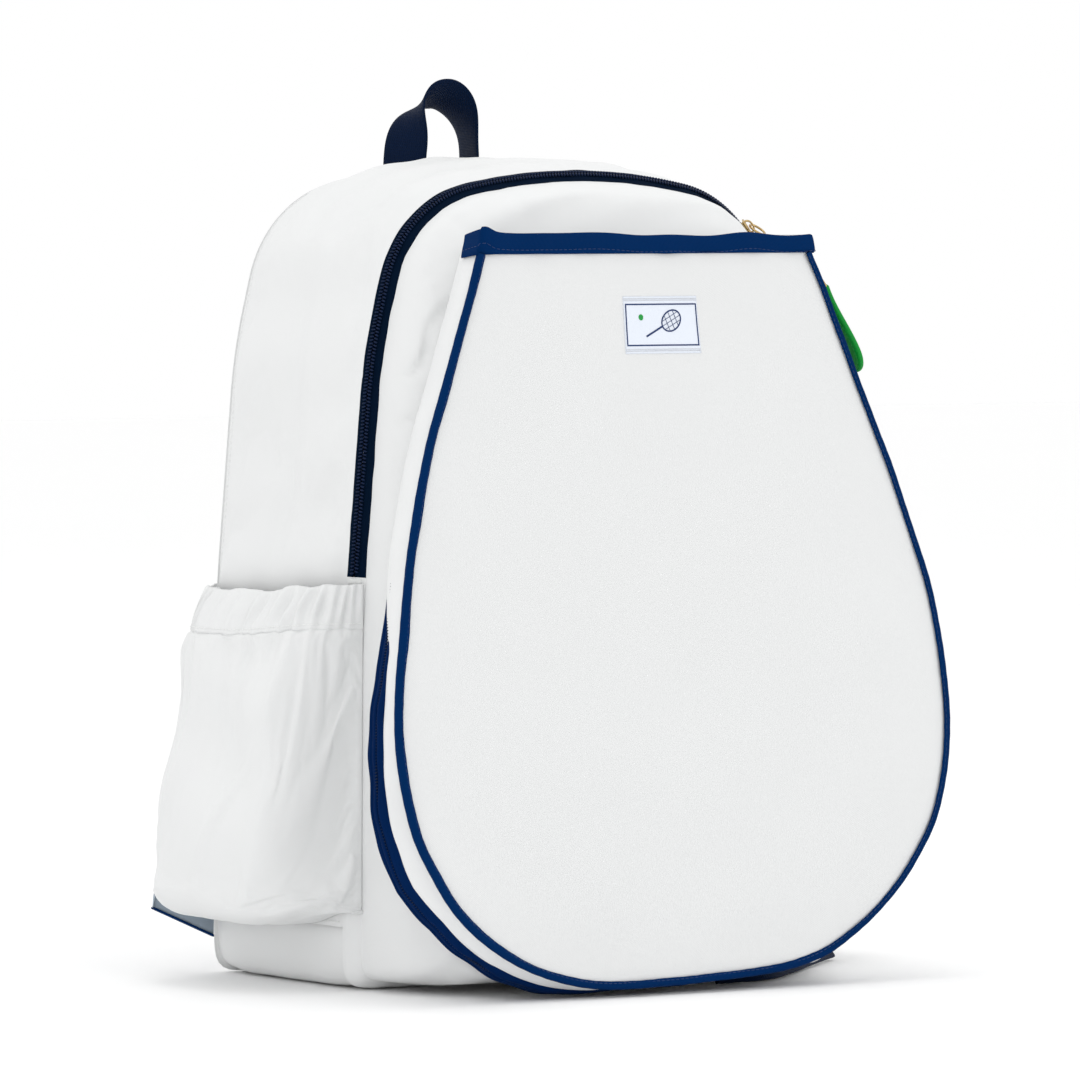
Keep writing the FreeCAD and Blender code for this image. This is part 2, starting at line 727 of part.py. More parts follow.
def ladder_lock():
    """A moulded buckle with two slots, between the pad and the webbing."""
    half_w, near, far = LOCK_SLOT
    upper = block(-half_w, half_w, near, far, -4, 4)
    lower = block(-half_w, half_w, -far, -near, -4, 4)
    return at_pad_end(lock_block(0.0).cut([upper, lower]))


def lower_webbing():
    """From the ladder lock down to the strap's foot."""
    return loft(web_sections()).common(moving_slab()).cut(at_pad_end(lock_block(0.2)))


def anchor_wing():
    """A triangle of cloth sewn in the back seam, which holds the strap's webbing."""
    y0, y1 = ANCHOR_BACK
    corners = [V(x, y0, z) for x, z in ANCHOR_CORNERS]
    wing = Part.Face(Part.makePolygon(corners + corners[:1])).extrude(V(0, y1 - y0, 0))
    return wing.common(slab(strap_length() - STRAP_FOOT_CUT + 0.5, strap_length() + 60))


def strap_yoke():
    """The patch across the top of the back panel that both straps are sewn to."""
    half, low, high, thick = YOKE
    return block(-half, half, BACK_REAR + 0.02, BACK_REAR + thick, low, high)


# ---- all pieces -------------------------------------------------------------

def zip_set():
    region, keep_out = flap_region(0.0), flap_region(JOINT_GAP)
    tape, coil = inner_tape(), inner_coil()
    return {
        "zip_outer_tape": outer_tape(),
        "zip_outer_coil": outer_coil(),
        "zip_inner_tape": tape.cut(keep_out),
        "zip_inner_coil": coil.cut(keep_out),
        "flap_zip_tape": tape.common(region),
        "flap_zip_coil": coil.common(region),
        "zip_end_stops": zip_end_stops(),
    }


def bag_set():
    return {
        "main_gusset": main_gusset(),
        "base_panel": base_panel(),
        "gusset_lining": gusset_lining(),
        "base_stiffener": base_stiffener(),
        "back_panel_cover": back_panel_cover(),
        "back_foam_pad": back_foam_pad(),
        "back_lining": back_lining(),
        "front_panel": front_panel(),
        "flap_panel": flap_panel(),
        "strap_yoke": strap_yoke(),
        "grab_handle": grab_handle(),
    }


def sleeve_set():
    return {
        "sleeve_back_panel": sleeve_back_panel(),
        "sleeve_back_piping": sleeve_back_piping(),
        "sleeve_zip_tape_back": sleeve_zip_tape_back(),
        "sleeve_zip_coil_back": sleeve_zip_coil_back(),
        "sleeve_zip_coil_front": sleeve_zip_coil_front(),
        "sleeve_zip_tape_front": sleeve_zip_tape_front(),
        "sleeve_gusset": sleeve_gusset(),
        "sleeve_front_panel": sleeve_front_panel(),
        "sleeve_front_foam": sleeve_front_foam(),
        "sleeve_front_lining": sleeve_front_lining(),
        "sleeve_front_binding": sleeve_front_binding(),
        "sleeve_mouth_binding": sleeve_mouth_binding(),
        "label_patch": label_patch(),
    }


def slider_set():
    main_slider = slider(COIL, -TAPE)
    ring = pull_ring(COIL, RING_TILT)
    return {
        "main_slider_upper": on_shoulder(main_slider, UPPER_ANGLE),
        "main_slider_lower": on_shoulder(main_slider, LOWER_ANGLE),
        "main_pull_upper": on_shoulder(ring, UPPER_ANGLE),
        "main_pull_lower": on_shoulder(ring, LOWER_ANGLE),
        "sleeve_slider": on_sleeve_side(slider(SLEEVE_COIL_OUT, SLEEVE_TAPE_IN)),
        "tag_ring": on_sleeve_side(pull_ring(SLEEVE_COIL_OUT, TAG_TILT)),
        "pull_tag": on_sleeve_side(pull_tag()),
    }


def side_sets():
    makers = {
        "side_pocket": side_pocket,
        "pocket_elastic": pocket_hem,
        "strap_root": strap_root,
        "strap_pad_cover": strap_pad_cover,
        "strap_pad_foam": strap_pad_foam,
        "lower_webbing": lower_webbing,
        "ladder_lock": ladder_lock,
        "strap_anchor": anchor_wing,
    }
    shapes = {}
    for name, make in makers.items():
        shape = make()
        shapes[name + "_right"] = shape
        shapes[name + "_left"] = mirror_x(shape)
    return shapes


def main():
    os.makedirs("parts", exist_ok=True)
    shapes = {}
    for group in (bag_set, zip_set, sleeve_set, slider_set, side_sets):
        shapes.update(group())
    for name, shape in shapes.items():
        shape.exportStep("parts/" + name + ".step")
        print(name, "solids", len(shape.Solids), "valid", shape.isValid(), "volume", round(shape.Volume))


main()
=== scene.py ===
import math

import bmesh
import bpy
import numpy as np
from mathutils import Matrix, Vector


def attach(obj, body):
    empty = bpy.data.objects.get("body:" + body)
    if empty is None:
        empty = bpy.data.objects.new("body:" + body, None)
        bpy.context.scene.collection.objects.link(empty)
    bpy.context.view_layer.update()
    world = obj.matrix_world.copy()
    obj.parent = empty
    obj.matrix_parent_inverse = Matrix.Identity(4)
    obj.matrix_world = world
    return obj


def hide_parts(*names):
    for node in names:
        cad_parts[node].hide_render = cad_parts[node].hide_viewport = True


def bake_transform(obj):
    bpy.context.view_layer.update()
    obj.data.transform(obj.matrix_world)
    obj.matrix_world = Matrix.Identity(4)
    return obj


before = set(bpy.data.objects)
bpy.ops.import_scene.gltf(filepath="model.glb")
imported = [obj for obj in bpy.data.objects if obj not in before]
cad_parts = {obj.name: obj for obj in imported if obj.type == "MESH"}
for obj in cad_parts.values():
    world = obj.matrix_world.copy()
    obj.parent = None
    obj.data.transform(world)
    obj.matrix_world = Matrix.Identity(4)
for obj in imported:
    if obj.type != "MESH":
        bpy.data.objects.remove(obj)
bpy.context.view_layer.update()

MM = 0.001
PI = math.pi


# ---- shapes shared with the CAD model, in millimetres -----------------------

HALF_DEPTH = 63.0
ARCH = [(140.0, 0.0), (139.0, 190.0), (127.5, 322.0), (108.0, 401.0), (0.0, 423.0)]
ARCH_RADII = [28.0, 800.0, 300.0, 66.0, 330.0]
CORNER = ARCH_RADII[0]
BASE_FLAT = ARCH[0][0] - CORNER
SHOULDER_RADIUS = ARCH_RADII[3]
SEAM_HEIGHT = 32.0
BEVEL = (6.2, 9.3)
BEVEL_LENGTH = math.hypot(*BEVEL)
ZIP_END = 210.0
DOME = (6.2, 43.0)
DOME_BOTTOM = (3.0, 16.0)
LEAN = math.radians(7.3)
FOOT_Y = -149.0
FLAP_FOLD_Z = 376.0
SLEEVE = [(170.0, 2.0), (170.0, 194.5), (108.3, 378.0)]
SLEEVE_RADII = [129.0, 380.0, 0.0]
MOUTH_HALF, MOUTH_TOP = SLEEVE[2]
SLEEVE_ZIP_END = 220.0


def unit(v):
    v = np.asarray(v, float)
    return v / np.maximum(np.linalg.norm(v, axis=-1, keepdims=True), 1e-12)


def smooth(a, b, x):
    t = np.clip((np.asarray(x, float) - a) / (b - a), 0, 1)
    return t * t * (3 - 2 * t)


def bump(x, centre, width):
    return np.exp(-((np.asarray(x, float) - centre) / width) ** 2)


def waves(seed, *axes, n=9, short=30.0, long=90.0):
    """Smooth zero-mean noise of about unit size: plane waves of random direction."""
    rng = np.random.default_rng(seed)
    total = 0.0
    for _ in range(n):
        k = rng.normal(size=len(axes))
        k *= 2 * PI / rng.uniform(short, long) / np.linalg.norm(k)
        total = total + np.sin(sum(c * np.asarray(a, float) for c, a in zip(k, axes)) + rng.uniform(0, 2 * PI))
    return total / math.sqrt(n / 2)


def curve(knots, values, x):
    """A smooth curve through knots (natural-looking, no overshoot)."""
    k, v = np.asarray(knots, float), np.asarray(values, float)
    slope = np.gradient(v, k)
    i = np.clip(np.searchsorted(k, x) - 1, 0, len(k) - 2)
    h = k[i + 1] - k[i]
    t = (x - k[i]) / h
    return ((2 * t ** 3 - 3 * t ** 2 + 1) * v[i] + (t ** 3 - 2 * t ** 2 + t) * h * slope[i]
            + (-2 * t ** 3 + 3 * t ** 2) * v[i + 1] + (t ** 3 - t ** 2) * h * slope[i + 1])


class Outline:
    """A rounded closed outline, sampled densely, as points and outward normals by arc length."""

    def __init__(self, corners, radii, step=0.5):
        points, normals = [], []
        count = len(corners)
        spans = []
        for i in range(count):
            c = np.array(corners[i])
            before, after = unit(np.array(corners[i - 1]) - c), unit(np.array(corners[(i + 1) % count]) - c)
            half = math.acos(np.clip(before @ after, -1, 1)) / 2
            r = radii[i]
            if r <= 0:
                spans.append((c, None, None, c))
                continue
            reach = r / math.tan(half)
            middle = c + unit(before + after) * (r / math.sin(half))
            spans.append((c + before * reach, middle, r, c + after * reach))
        for i in range(count):
            start, middle, r, end = spans[i]
            if middle is not None:
                a0 = math.atan2(*(start - middle)[::-1])
                turn = math.atan2(*(end - middle)[::-1]) - a0
                turn = (turn + PI) % (2 * PI) - PI
                steps = max(2, int(abs(turn) * r / step))
                angles = a0 + turn * np.arange(steps) / steps
                out = np.stack([np.cos(angles), np.sin(angles)], 1)
                points.append(middle + out * r)
                normals.append(out)
            follow = spans[(i + 1) % count][0]
            d = unit(follow - end)
            steps = max(1, int(np.linalg.norm(follow - end) / step))
            points.append(end + np.outer(np.arange(steps) / steps, follow - end))
            normals.append(np.tile([d[1], -d[0]], (steps, 1)))
        self.points, self.normals = np.concatenate(points), np.concatenate(normals)
        gaps = np.linalg.norm(np.roll(self.points, -1, 0) - self.points, axis=1)
        self.along = np.concatenate([[0], np.cumsum(gaps)])
        self.length = self.along[-1]

    def at(self, s):
        s = np.asarray(s, float) % self.length
        p = np.concatenate([self.points, self.points[:1]])
        n = np.concatenate([self.normals, self.normals[:1]])
        def read(a):
            return np.stack([np.interp(s, self.along, a[:, k]) for k in range(2)], -1)
        return read(p), unit(read(n))

    def find(self, test):
        """Arc lengths of the samples for which test(points) holds, lowest and highest."""
        hits = np.nonzero(test(self.points))[0]
        return self.along[hits[0]], self.along[hits[-1]]


arch = Outline(ARCH + [(-x, z) for x, z in ARCH[-2::-1]], ARCH_RADII + ARCH_RADII[-2::-1])
teardrop = Outline(SLEEVE + [(-x, z) for x, z in SLEEVE[::-1]], SLEEVE_RADII + SLEEVE_RADII[::-1])


def arch_at(s, inset, bottom=None):
    """Points of the arch moved inwards; the lower edge has its own inset, as in the CAD model."""
    p, n = arch.at(s)
    inset, low = np.asarray(inset, float), np.asarray(inset if bottom is None else bottom, float)
    x, z = p[..., 0], p[..., 1]
    side_x, side_z = x - inset * n[..., 0], z - inset * n[..., 1]
    corner_x = x - np.sign(x) * (inset - low) - low * n[..., 0]
    corner_z = z - low * n[..., 1]
    flat_x = x - x / BASE_FLAT * (inset - low)
    out_x = np.where(z > CORNER, side_x, np.where(np.abs(x) > BASE_FLAT, corner_x, flat_x))
    return out_x, np.where(z > CORNER, side_z, corner_z)


def squared(P):
    """Presses the bag's rounded lower corners outwards: its real ones are nearly square."""
    P = np.array(P, float)
    squareness = 5
    u, v = (np.abs(P[..., 0]) - BASE_FLAT) / CORNER, (CORNER - P[..., 2]) / CORNER
    inside = (u > 0) & (v > 0)
    u, v = np.maximum(u, 1e-6), np.maximum(v, 1e-6)
    r = np.hypot(u, v) / (u ** squareness + v ** squareness) ** (1 / squareness)
    P[..., 0] = np.where(inside, np.sign(P[..., 0]) * (BASE_FLAT + CORNER * u * r), P[..., 0])
    P[..., 2] = np.where(inside, np.maximum(CORNER - CORNER * v * r, 0.0), P[..., 2])
    return P


def bevel(s, down, out):
    """A point on the zip's bevel: down it from the gusset's edge, and out from its face."""
    a, b = BEVEL[0] / BEVEL_LENGTH, BEVEL[1] / BEVEL_LENGTH
    x, z = arch_at(s, down * a - out * b)
    return np.stack([x, np.broadcast_to(-HALF_DEPTH - down * b - out * a, x.shape), z], -1)


# Half the sleeve's width at heights on its own plane, and how far its two sides are drawn to the right there.
SLEEVE_UP = [2, 21, 42, 62, 83, 103, 144, 185, 226, 288, 308, 329, 350, 378]
SLEEVE_HALF = [60, 110, 136, 150, 160, 166, 169, 168, 162, 142, 135, 128, 119, 108]
LEFT_SHIFT = [0.0, -1.0, 0.0, 2.5, 3.7, 5.5, 7.0, 10.0, 10.0, 9.0, 11.0, 13.0, 15.0, 16.0]
RIGHT_SHIFT = [-4.0, -8.0, -4.5, -2.4, 0.0, 1.2, 2.5, 3.0, 0.8, -0.6, -1.6, -2.8, -3.8, -6.0]
MOUTH_RISE = 5.0
FOOT_RISE = 3.0


def leaning(x, up, out):
    """A point over the sleeve's leaning plane, with its sides drawn in and its mouth and foot raised."""
    x, up, out = np.broadcast_arrays(np.asarray(x, float), up, out)
    share = np.clip(0.5 + 0.5 * x / np.interp(up, SLEEVE_UP, SLEEVE_HALF), 0, 1)
    x = x + curve(SLEEVE_UP, LEFT_SHIFT, up) * (1 - share) + curve(SLEEVE_UP, RIGHT_SHIFT, up) * share
    up = up + MOUTH_RISE * smooth(280, MOUTH_TOP, up) + FOOT_RISE * bump(x, 48, 38) * (1 - smooth(0, 45, up))
    sin, cos = math.sin(LEAN), math.cos(LEAN)
    return np.stack([x, FOOT_Y + up * sin - out * cos, up * cos + out * sin], -1)


# The arch runs up the right side, over the top and down the left.
SIDE_FROM = arch.find(lambda p: p[:, 1] > SEAM_HEIGHT)
ZIP_FROM = arch.find(lambda p: p[:, 1] > ZIP_END)
BULGE_UP = [0, 21, 42, 62, 83, 103, 144, 175]
BULGE_REACH = [4.0, 6.5, 6.5, 10.5, 9.5, 7.0, 2.5, 0.0]


def rim_path(s, inset, out):
    """A point round the sleeve's edge; at the lower left its back half reaches further out."""
    p, n = teardrop.at(s)
    s, out = np.broadcast_arrays(s, out)
    reach = np.interp(p[..., 1], BULGE_UP, BULGE_REACH)
    spread = reach * smooth(-35, -85, p[..., 0]) * (1 - smooth(7, 20, out))
    q = p - (np.asarray(inset, float) - spread)[..., None] * n
    return leaning(q[..., 0], q[..., 1], out)


def edge_length_at(x, up):
    """Arc length along the teardrop of its sample nearest to a point."""
    return float(teardrop.along[np.argmin(np.abs(teardrop.points - (x, up)).sum(1))])


MOUTH_LEFT = edge_length_at(-MOUTH_HALF, MOUTH_TOP)
RIM_TOTAL = teardrop.length - (MOUTH_LEFT - edge_length_at(MOUTH_HALF, MOUTH_TOP))


def rim(count, start=0.0, end=1.0):
    """Arc lengths along the sleeve's edge from the left mouth corner, round the bottom, to the right one."""
    return MOUTH_LEFT + RIM_TOTAL * np.linspace(start, end, count)


# ---- meshes -----------------------------------------------------------------

def build(name, points, faces, material, corner_uv=None, shade=True):
    mesh = bpy.data.meshes.new(name)
    mesh.from_pydata((np.asarray(points, float).reshape(-1, 3) * MM).tolist(), [], faces)
    if corner_uv is not None:
        layer = mesh.uv_layers.new(name="Cloth")
        layer.data.foreach_set("uv", (np.asarray(corner_uv, float) * MM).astype(np.float32).ravel())
    mesh.polygons.foreach_set("use_smooth", [shade] * len(mesh.polygons))
    mesh.materials.append(material)
    mesh.update()
    o = bpy.data.objects.new(name, mesh)
    bpy.context.scene.collection.objects.link(o)
    return o


def lengths(points):
    return np.concatenate([[0], np.cumsum(np.linalg.norm(np.diff(points, axis=0), axis=1))])


def grid(name, P, material, close_u=False, close_v=False, uv=None, flip=False, keep=None, caps=False):
    """A sheet of quads over an array of points; its UV map is in metres along the cloth."""
    P = np.asarray(P, float)
    nu, nv = P.shape[:2]
    iu, iv = np.arange(nu if close_u else nu - 1), np.arange(nv if close_v else nv - 1)
    I, J = np.meshgrid(iu, iv, indexing="ij")
    corners = [(I, J), (I + 1, J), (I + 1, J + 1), (I, J + 1)]
    if uv is None:
        ext = np.concatenate([P, P[:1]]) if close_u else P
        u = lengths(ext[:, nv // 2])
        ext = np.concatenate([P, P[:, :1]], 1) if close_v else P
        v = lengths(ext[nu // 2])
        uv = np.stack(np.meshgrid(u, v, indexing="ij"), -1)
    F = np.stack([(a % nu) * nv + b % nv for a, b in corners], -1).reshape(-1, 4)
    C = np.stack([uv[a, b] for a, b in corners], -2).reshape(-1, 4, 2)
    if keep is not None:
        chosen = keep[I, J].reshape(-1)
        F, C = F[chosen], C[chosen]
    if flip:
        F, C = F[:, ::-1], C[:, ::-1]
    faces, corner = F.tolist(), C.reshape(-1, 2)
    if caps:
        for row in (0, nu - 1):
            ring = [row * nv + j for j in range(nv)]
            ring = ring[::-1] if (row == 0) != flip else ring
            faces.append(ring)
            corner = np.concatenate([corner, np.stack([np.arange(nv) * 1.0, np.zeros(nv)], -1)])
    return build(name, P, faces, material, corner)


def outward_normals(o):
    """Turns every face of a closed mesh outwards."""
    b = bmesh.new()
    b.from_mesh(o.data)
    bmesh.ops.recalc_face_normals(b, faces=b.faces)
    b.to_mesh(o.data)
    b.free()
    return o


def clean(o, distance=0.00002):
    """Merges doubled points and drops faces and points that nothing uses."""
    b = bmesh.new()
    b.from_mesh(o.data)
    bmesh.ops.remove_doubles(b, verts=b.verts, dist=distance)
    bmesh.ops.dissolve_degenerate(b, edges=b.edges, dist=distance)
    loose = [v for v in b.verts if not v.link_faces]
    bmesh.ops.delete(b, geom=loose, context="VERTS")
    b.to_mesh(o.data)
    b.free()
    return o


def flat_uv(P):
    """UV map of a closed band of points, seen from the front."""
    uv = np.stack([P[..., 0], P[..., 2]], -1)
    return np.concatenate([uv, uv[:1]])


def thicken(o, mm, offset=-1.0):
    m = o.modifiers.new("thickness", "SOLIDIFY")
    m.thickness, m.offset, m.use_rim = mm * MM, offset, True
    m.use_quality_normals = True
    return o


def subdivide(o, levels=1):
    m = o.modifiers.new("rounding", "SUBSURF")
    m.levels = m.render_levels = levels
    return o


def shown(o, body, *nodes, slot=None):
    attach(o, body)
    if nodes:
        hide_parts(*nodes)
    return o


def sweep(name, path, side, up, profile, material, close=True, caps=True, ring=False, flip=False):
    """A profile of (side, up) points, carried along a path."""
    path, side, up = (np.asarray(a, float) for a in (path, side, up))
    profile = np.asarray(profile, float)
    if profile.ndim == 2:
        profile = np.broadcast_to(profile, (len(path), *profile.shape))
    P = path[:, None] + side[:, None] * profile[..., :1] + up[:, None] * profile[..., 1:]
    return grid(name, P, material, close_u=ring, close_v=close, caps=caps and not ring and close, flip=flip)


def rounded_box(half_w, half_h, r, n=3):
    """Profile of a rounded rectangle, anticlockwise."""
    out = []
    for cx, cy, a in ((1, 1, 0), (-1, 1, 90), (-1, -1, 180), (1, -1, 270)):
        for k in range(n + 1):
            t = math.radians(a + 90 * k / n)
            out.append((cx * (half_w - r) + r * math.cos(t), cy * (half_h - r) + r * math.sin(t)))
    return np.array(out)


def instances(name, bead, places, along, side, up, material):
    """Many copies of one small shape, given as (points, faces), each on its own axes, in one mesh."""
    points, bead_faces = np.asarray(bead[0], float), bead[1]
    P = (places[:, None] + along[:, None] * points[None, :, :1] + side[:, None] * points[None, :, 1:2]
         + up[:, None] * points[None, :, 2:])
    faces = [[v + i * len(points) for v in face] for i in range(len(places)) for face in bead_faces]
    return build(name, P.reshape(-1, 3), faces, material)


def capsule(length, width, height, rings=5, sides=6, lift=0.0):
    """A rounded bead along X, as points and faces."""
    points, faces = [], []
    for i in range(rings):
        t = PI * (i + 0.5) / rings
        x, r = -length / 2 * math.cos(t), math.sin(t) ** 0.6
        for j in range(sides):
            a = 2 * PI * j / sides
            points.append((x, width / 2 * r * math.cos(a), height / 2 * r * math.sin(a) + lift))
    for i in range(rings - 1):
        for j in range(sides):
            a, b = i * sides + j, i * sides + (j + 1) % sides
            faces.append([a, b, b + sides, a + sides])
    faces.append(list(range(sides))[::-1])
    faces.append([(rings - 1) * sides + j for j in range(sides)])
    return points, faces


def spaced(points, pitch):
    """Points at even steps along a polyline, with their tangents."""
    points = np.asarray(points, float)
    s = lengths(points)
    at = np.arange(pitch / 2, s[-1], pitch)
    place = np.stack([np.interp(at, s, points[:, k]) for k in range(3)], -1)
    ahead = np.stack([np.interp(at + 0.3, s, points[:, k]) for k in range(3)], -1)
    behind = np.stack([np.interp(at - 0.3, s, points[:, k]) for k in range(3)], -1)
    return place, unit(ahead - behind), at / s[-1]


def stitches(name, points, normals, material, pitch=2.9, length=2.1, size=0.42):
    """A row of lock stitches: short threads that dip into the cloth at both ends."""
    place, along, share = spaced(points, pitch)
    normals = np.broadcast_to(np.asarray(normals, float), np.asarray(points).shape)
    s = lengths(points) / lengths(points)[-1]
    up = unit(np.stack([np.interp(share, s, normals[:, k]) for k in range(3)], -1))
    side = unit(np.cross(up, along))
    bead = capsule(length, size, size * 0.8, lift=size * 0.12)
    return instances(name, bead, place, along, side, np.cross(along, side), material)


# ---- materials --------------------------------------------------------------

def srgb(r, g, b):
    c = [v / 255.0 for v in (r, g, b)]
    return tuple(v / 12.92 if v <= 0.04045 else ((v + 0.055) / 1.055) ** 2.4 for v in c) + (1.0,)


class Nodes:
    """Short calls that add nodes to one material."""

    def __init__(self, name, color, roughness, **sockets):
        self.material = bpy.data.materials.new(name)
        self.material.use_nodes = True
        self.tree = self.material.node_tree
        self.shader = self.tree.nodes["Principled BSDF"]
        self.set(self.shader, "Base Color", color)
        self.set(self.shader, "Roughness", roughness)
        for socket, value in sockets.items():
            self.set(self.shader, socket.replace("_", " "), value)
        self.color = color

    def set(self, node, socket, value):
        if isinstance(value, bpy.types.NodeSocket):
            self.tree.links.new(value, node.inputs[socket])
        else:
            node.inputs[socket].default_value = value

    def add(self, kind, output=0, settings=None, **sockets):
        node = self.tree.nodes.new("ShaderNode" + kind)
        for key, value in (settings or {}).items():
            setattr(node, key, value)
        for socket, value in sockets.items():
            self.set(node, int(socket[1:]) if socket[1:].isdigit() else socket.replace("_", " "), value)
        return node.outputs[output]

    def math(self, operation, a, b=0.0, c=0.0):
        return self.add("Math", settings={"operation": operation}, _0=a, _1=b, _2=c)

    def wave(self, value, pitch, phase=0.0):
        """A sine of a coordinate in metres, with the pitch in millimetres."""
        return self.math("SINE", self.math("MULTIPLY_ADD", value, 2 * PI / (pitch * MM), phase))

    def coordinates(self, uv=True):
        """Two coordinates in metres, along the cloth or, without a UV map, in the object's own frame."""
        if uv:
            vector = self.add("UVMap", settings={"uv_map": "Cloth"})
        else:
            vector = self.add("TexCoord", output="Object")
        parts = self.tree.nodes.new("ShaderNodeSeparateXYZ")
        self.tree.links.new(vector, parts.inputs[0])
        return parts.outputs[0], parts.outputs[1]

    def noise(self, size, detail=3.0):
        """Noise over the object's own place, with the size in millimetres."""
        place = self.add("TexCoord", output="Object")
        return self.add("TexNoise", Vector=place, Scale=1.0 / (size * MM), Detail=detail)

    def spread(self, value, low, high):
        return self.add("MapRange", _0=value, _1=0.0, _2=1.0, _3=low, _4=high)

    def tint(self, factor, amount=1.0):
        """Base colour times a factor."""
        scaled = self.tree.nodes.new("ShaderNodeVectorMath")
        scaled.operation = "SCALE"
        scaled.inputs[0].default_value = self.color[:3]
        self.tree.links.new(factor, scaled.inputs["Scale"])
        self.tree.links.new(scaled.outputs[0], self.shader.inputs["Base Color"])

    def relief(self, height, mm, strength=1.0):
        normal = self.add("Bump", Strength=strength, Distance=mm * MM, Height=height)
        self.tree.links.new(normal, self.shader.inputs["Normal"])

    def rough(self, value, low, high):
        self.tree.links.new(self.spread(value, low, high), self.shader.inputs["Roughness"])


def woven(name, color, pitch=(0.5, 0.5), kind="plain", depth=0.05, roughness=(0.55, 0.7), sheen=0.0,
          mottle=0.03, valley_shade=0.06, specular=0.35, crease=0.0, uv=True):
    """Cloth with its own weave: plain, ribbed across, twill or mesh."""
    m = Nodes(name, color, roughness[0], Sheen_Weight=sheen, Sheen_Roughness=0.5, Specular_IOR_Level=specular)
    u, v = m.coordinates(uv)
    if kind == "plain":
        thread = m.math("MULTIPLY", m.wave(u, pitch[0]), m.wave(v, pitch[1]))
        height = m.math("MULTIPLY_ADD", thread, 0.5, 0.5)
    elif kind == "ribbed":
        rib = m.math("ABSOLUTE", m.wave(u, pitch[0] * 2))
        fine = m.math("MULTIPLY_ADD", m.wave(v, pitch[1]), 0.12, 0.1)
        height = m.math("ADD", rib, fine)
    elif kind == "twill":
        slanted = m.math("MULTIPLY_ADD", v, pitch[0] / pitch[1], u)
        rib = m.math("ABSOLUTE", m.wave(slanted, pitch[0] * 2))
        cross = m.math("MULTIPLY_ADD", m.wave(v, pitch[1]), 0.25, 0.2)
        height = m.math("ADD", rib, cross)
    else:
        hole = m.math("MULTIPLY", m.wave(u, pitch[0]), m.wave(v, pitch[1]))
        height = m.math("SMOOTH_MIN", m.math("MULTIPLY_ADD", hole, 1.6, 0.6), 1.0, 0.3)
    fuzz = m.noise(max(pitch) * 1.7, 2.0)
    height = m.math("MULTIPLY_ADD", fuzz, 0.35, height)
    large = m.noise(46.0, 4.0)
    # Base colour: a random mottle of tone, plus painted weave shade, darker in the weave's valleys and a little
    # lighter on the threads' tops as a painted highlight.
    mottle_and_weave_shade = m.math("ADD", m.spread(large, 1.0 - mottle, 1.0 + mottle), m.spread(height, -valley_shade, valley_shade * 0.5))
    m.tint(mottle_and_weave_shade)
    if crease:
        folds = m.noise(17.0, 5.0)
        height = m.math("MULTIPLY_ADD", folds, crease / depth, height)
    m.relief(height, depth)
    m.rough(fuzz, *roughness)
    return m.material


def metal(name, color, roughness=(0.18, 0.34)):
    m = Nodes(name, color, roughness[0], Metallic=1.0)
    scratches = m.noise(0.9, 6.0)
    m.tint(m.spread(m.noise(2.5, 3.0), 0.86, 1.06))
    m.rough(scratches, *roughness)
    m.relief(scratches, 0.01)
    return m.material


def leather(name, color):
    m = Nodes(name, color, 0.45, Specular_IOR_Level=0.18, Coat_Weight=0.04, Coat_Roughness=0.35)
    place = m.add("TexCoord", output="Object")
    grain = m.add("TexVoronoi", settings={"feature": "DISTANCE_TO_EDGE"}, Vector=place, Scale=1.0 / (1.1 * MM))
    pores = m.noise(0.35, 3.0)
    height = m.math("MULTIPLY_ADD", pores, 0.3, m.math("MINIMUM", grain, 0.25))
    m.tint(m.math("ADD", m.spread(m.noise(9.0, 4.0), 0.9, 1.08), m.spread(grain, -0.06, 0.06)))
    m.rough(pores, 0.38, 0.56)
    m.relief(height, 0.12)
    return m.material


def plastic(name, color, roughness=(0.32, 0.46), specular=0.5):
    m = Nodes(name, color, roughness[0], Specular_IOR_Level=specular)
    grain = m.noise(0.5, 4.0)
    m.tint(m.spread(m.noise(6.0, 3.0), 0.92, 1.06))
    m.rough(grain, *roughness)
    m.relief(grain, 0.02)
    return m.material


# In each cloth below, valley sets the painted shade in the weave's valleys, and in the mesh's holes.
WHITE = srgb(228, 229, 229)
nylon = woven("white_nylon_cloth", WHITE, (0.62, 0.62), depth=0.035, roughness=(0.5, 0.66), sheen=0.05,
              mottle=0.012, valley_shade=0.02, crease=0.02)
canvas = woven("white_canvas_cloth", srgb(223, 224, 224), (0.95, 0.95), depth=0.07, roughness=(0.66, 0.8),
               sheen=0.08, mottle=0.012, valley_shade=0.035)
binding_navy = woven("navy_grosgrain", srgb(0, 39, 86), (0.75, 0.4), "ribbed", depth=0.12,
                     roughness=(0.6, 0.75), mottle=0.08, valley_shade=0.12, specular=0.03)
tape_navy = woven("navy_zip_tape", srgb(2, 18, 38), (0.6, 1.1), "twill", depth=0.1, roughness=(0.62, 0.78),
                  mottle=0.06, valley_shade=0.15, specular=0.03)
band_navy = woven("navy_sleeve_zip", srgb(0, 30, 74), (0.6, 1.1), "twill", depth=0.1, roughness=(0.55, 0.7),
                  mottle=0.08, valley_shade=0.15, specular=0.03)
webbing_navy = woven("navy_webbing_cloth", srgb(3, 21, 48), (1.5, 1.3), "twill", depth=0.28,
                     roughness=(0.5, 0.66), mottle=0.08, valley_shade=0.2, specular=0.06)
coil_navy = plastic("navy_zip_coil", srgb(13, 30, 60), (0.32, 0.46), 0.14)
white_thread = woven("white_thread", srgb(240, 241, 240), (0.3, 0.3), depth=0.03, uv=False, sheen=0.1)
navy_thread = woven("navy_thread", srgb(12, 44, 96), (0.3, 0.3), depth=0.03, uv=False, sheen=0.1)
green_thread = woven("green_thread", srgb(20, 150, 62), (0.3, 0.3), depth=0.03, uv=False, sheen=0.1)
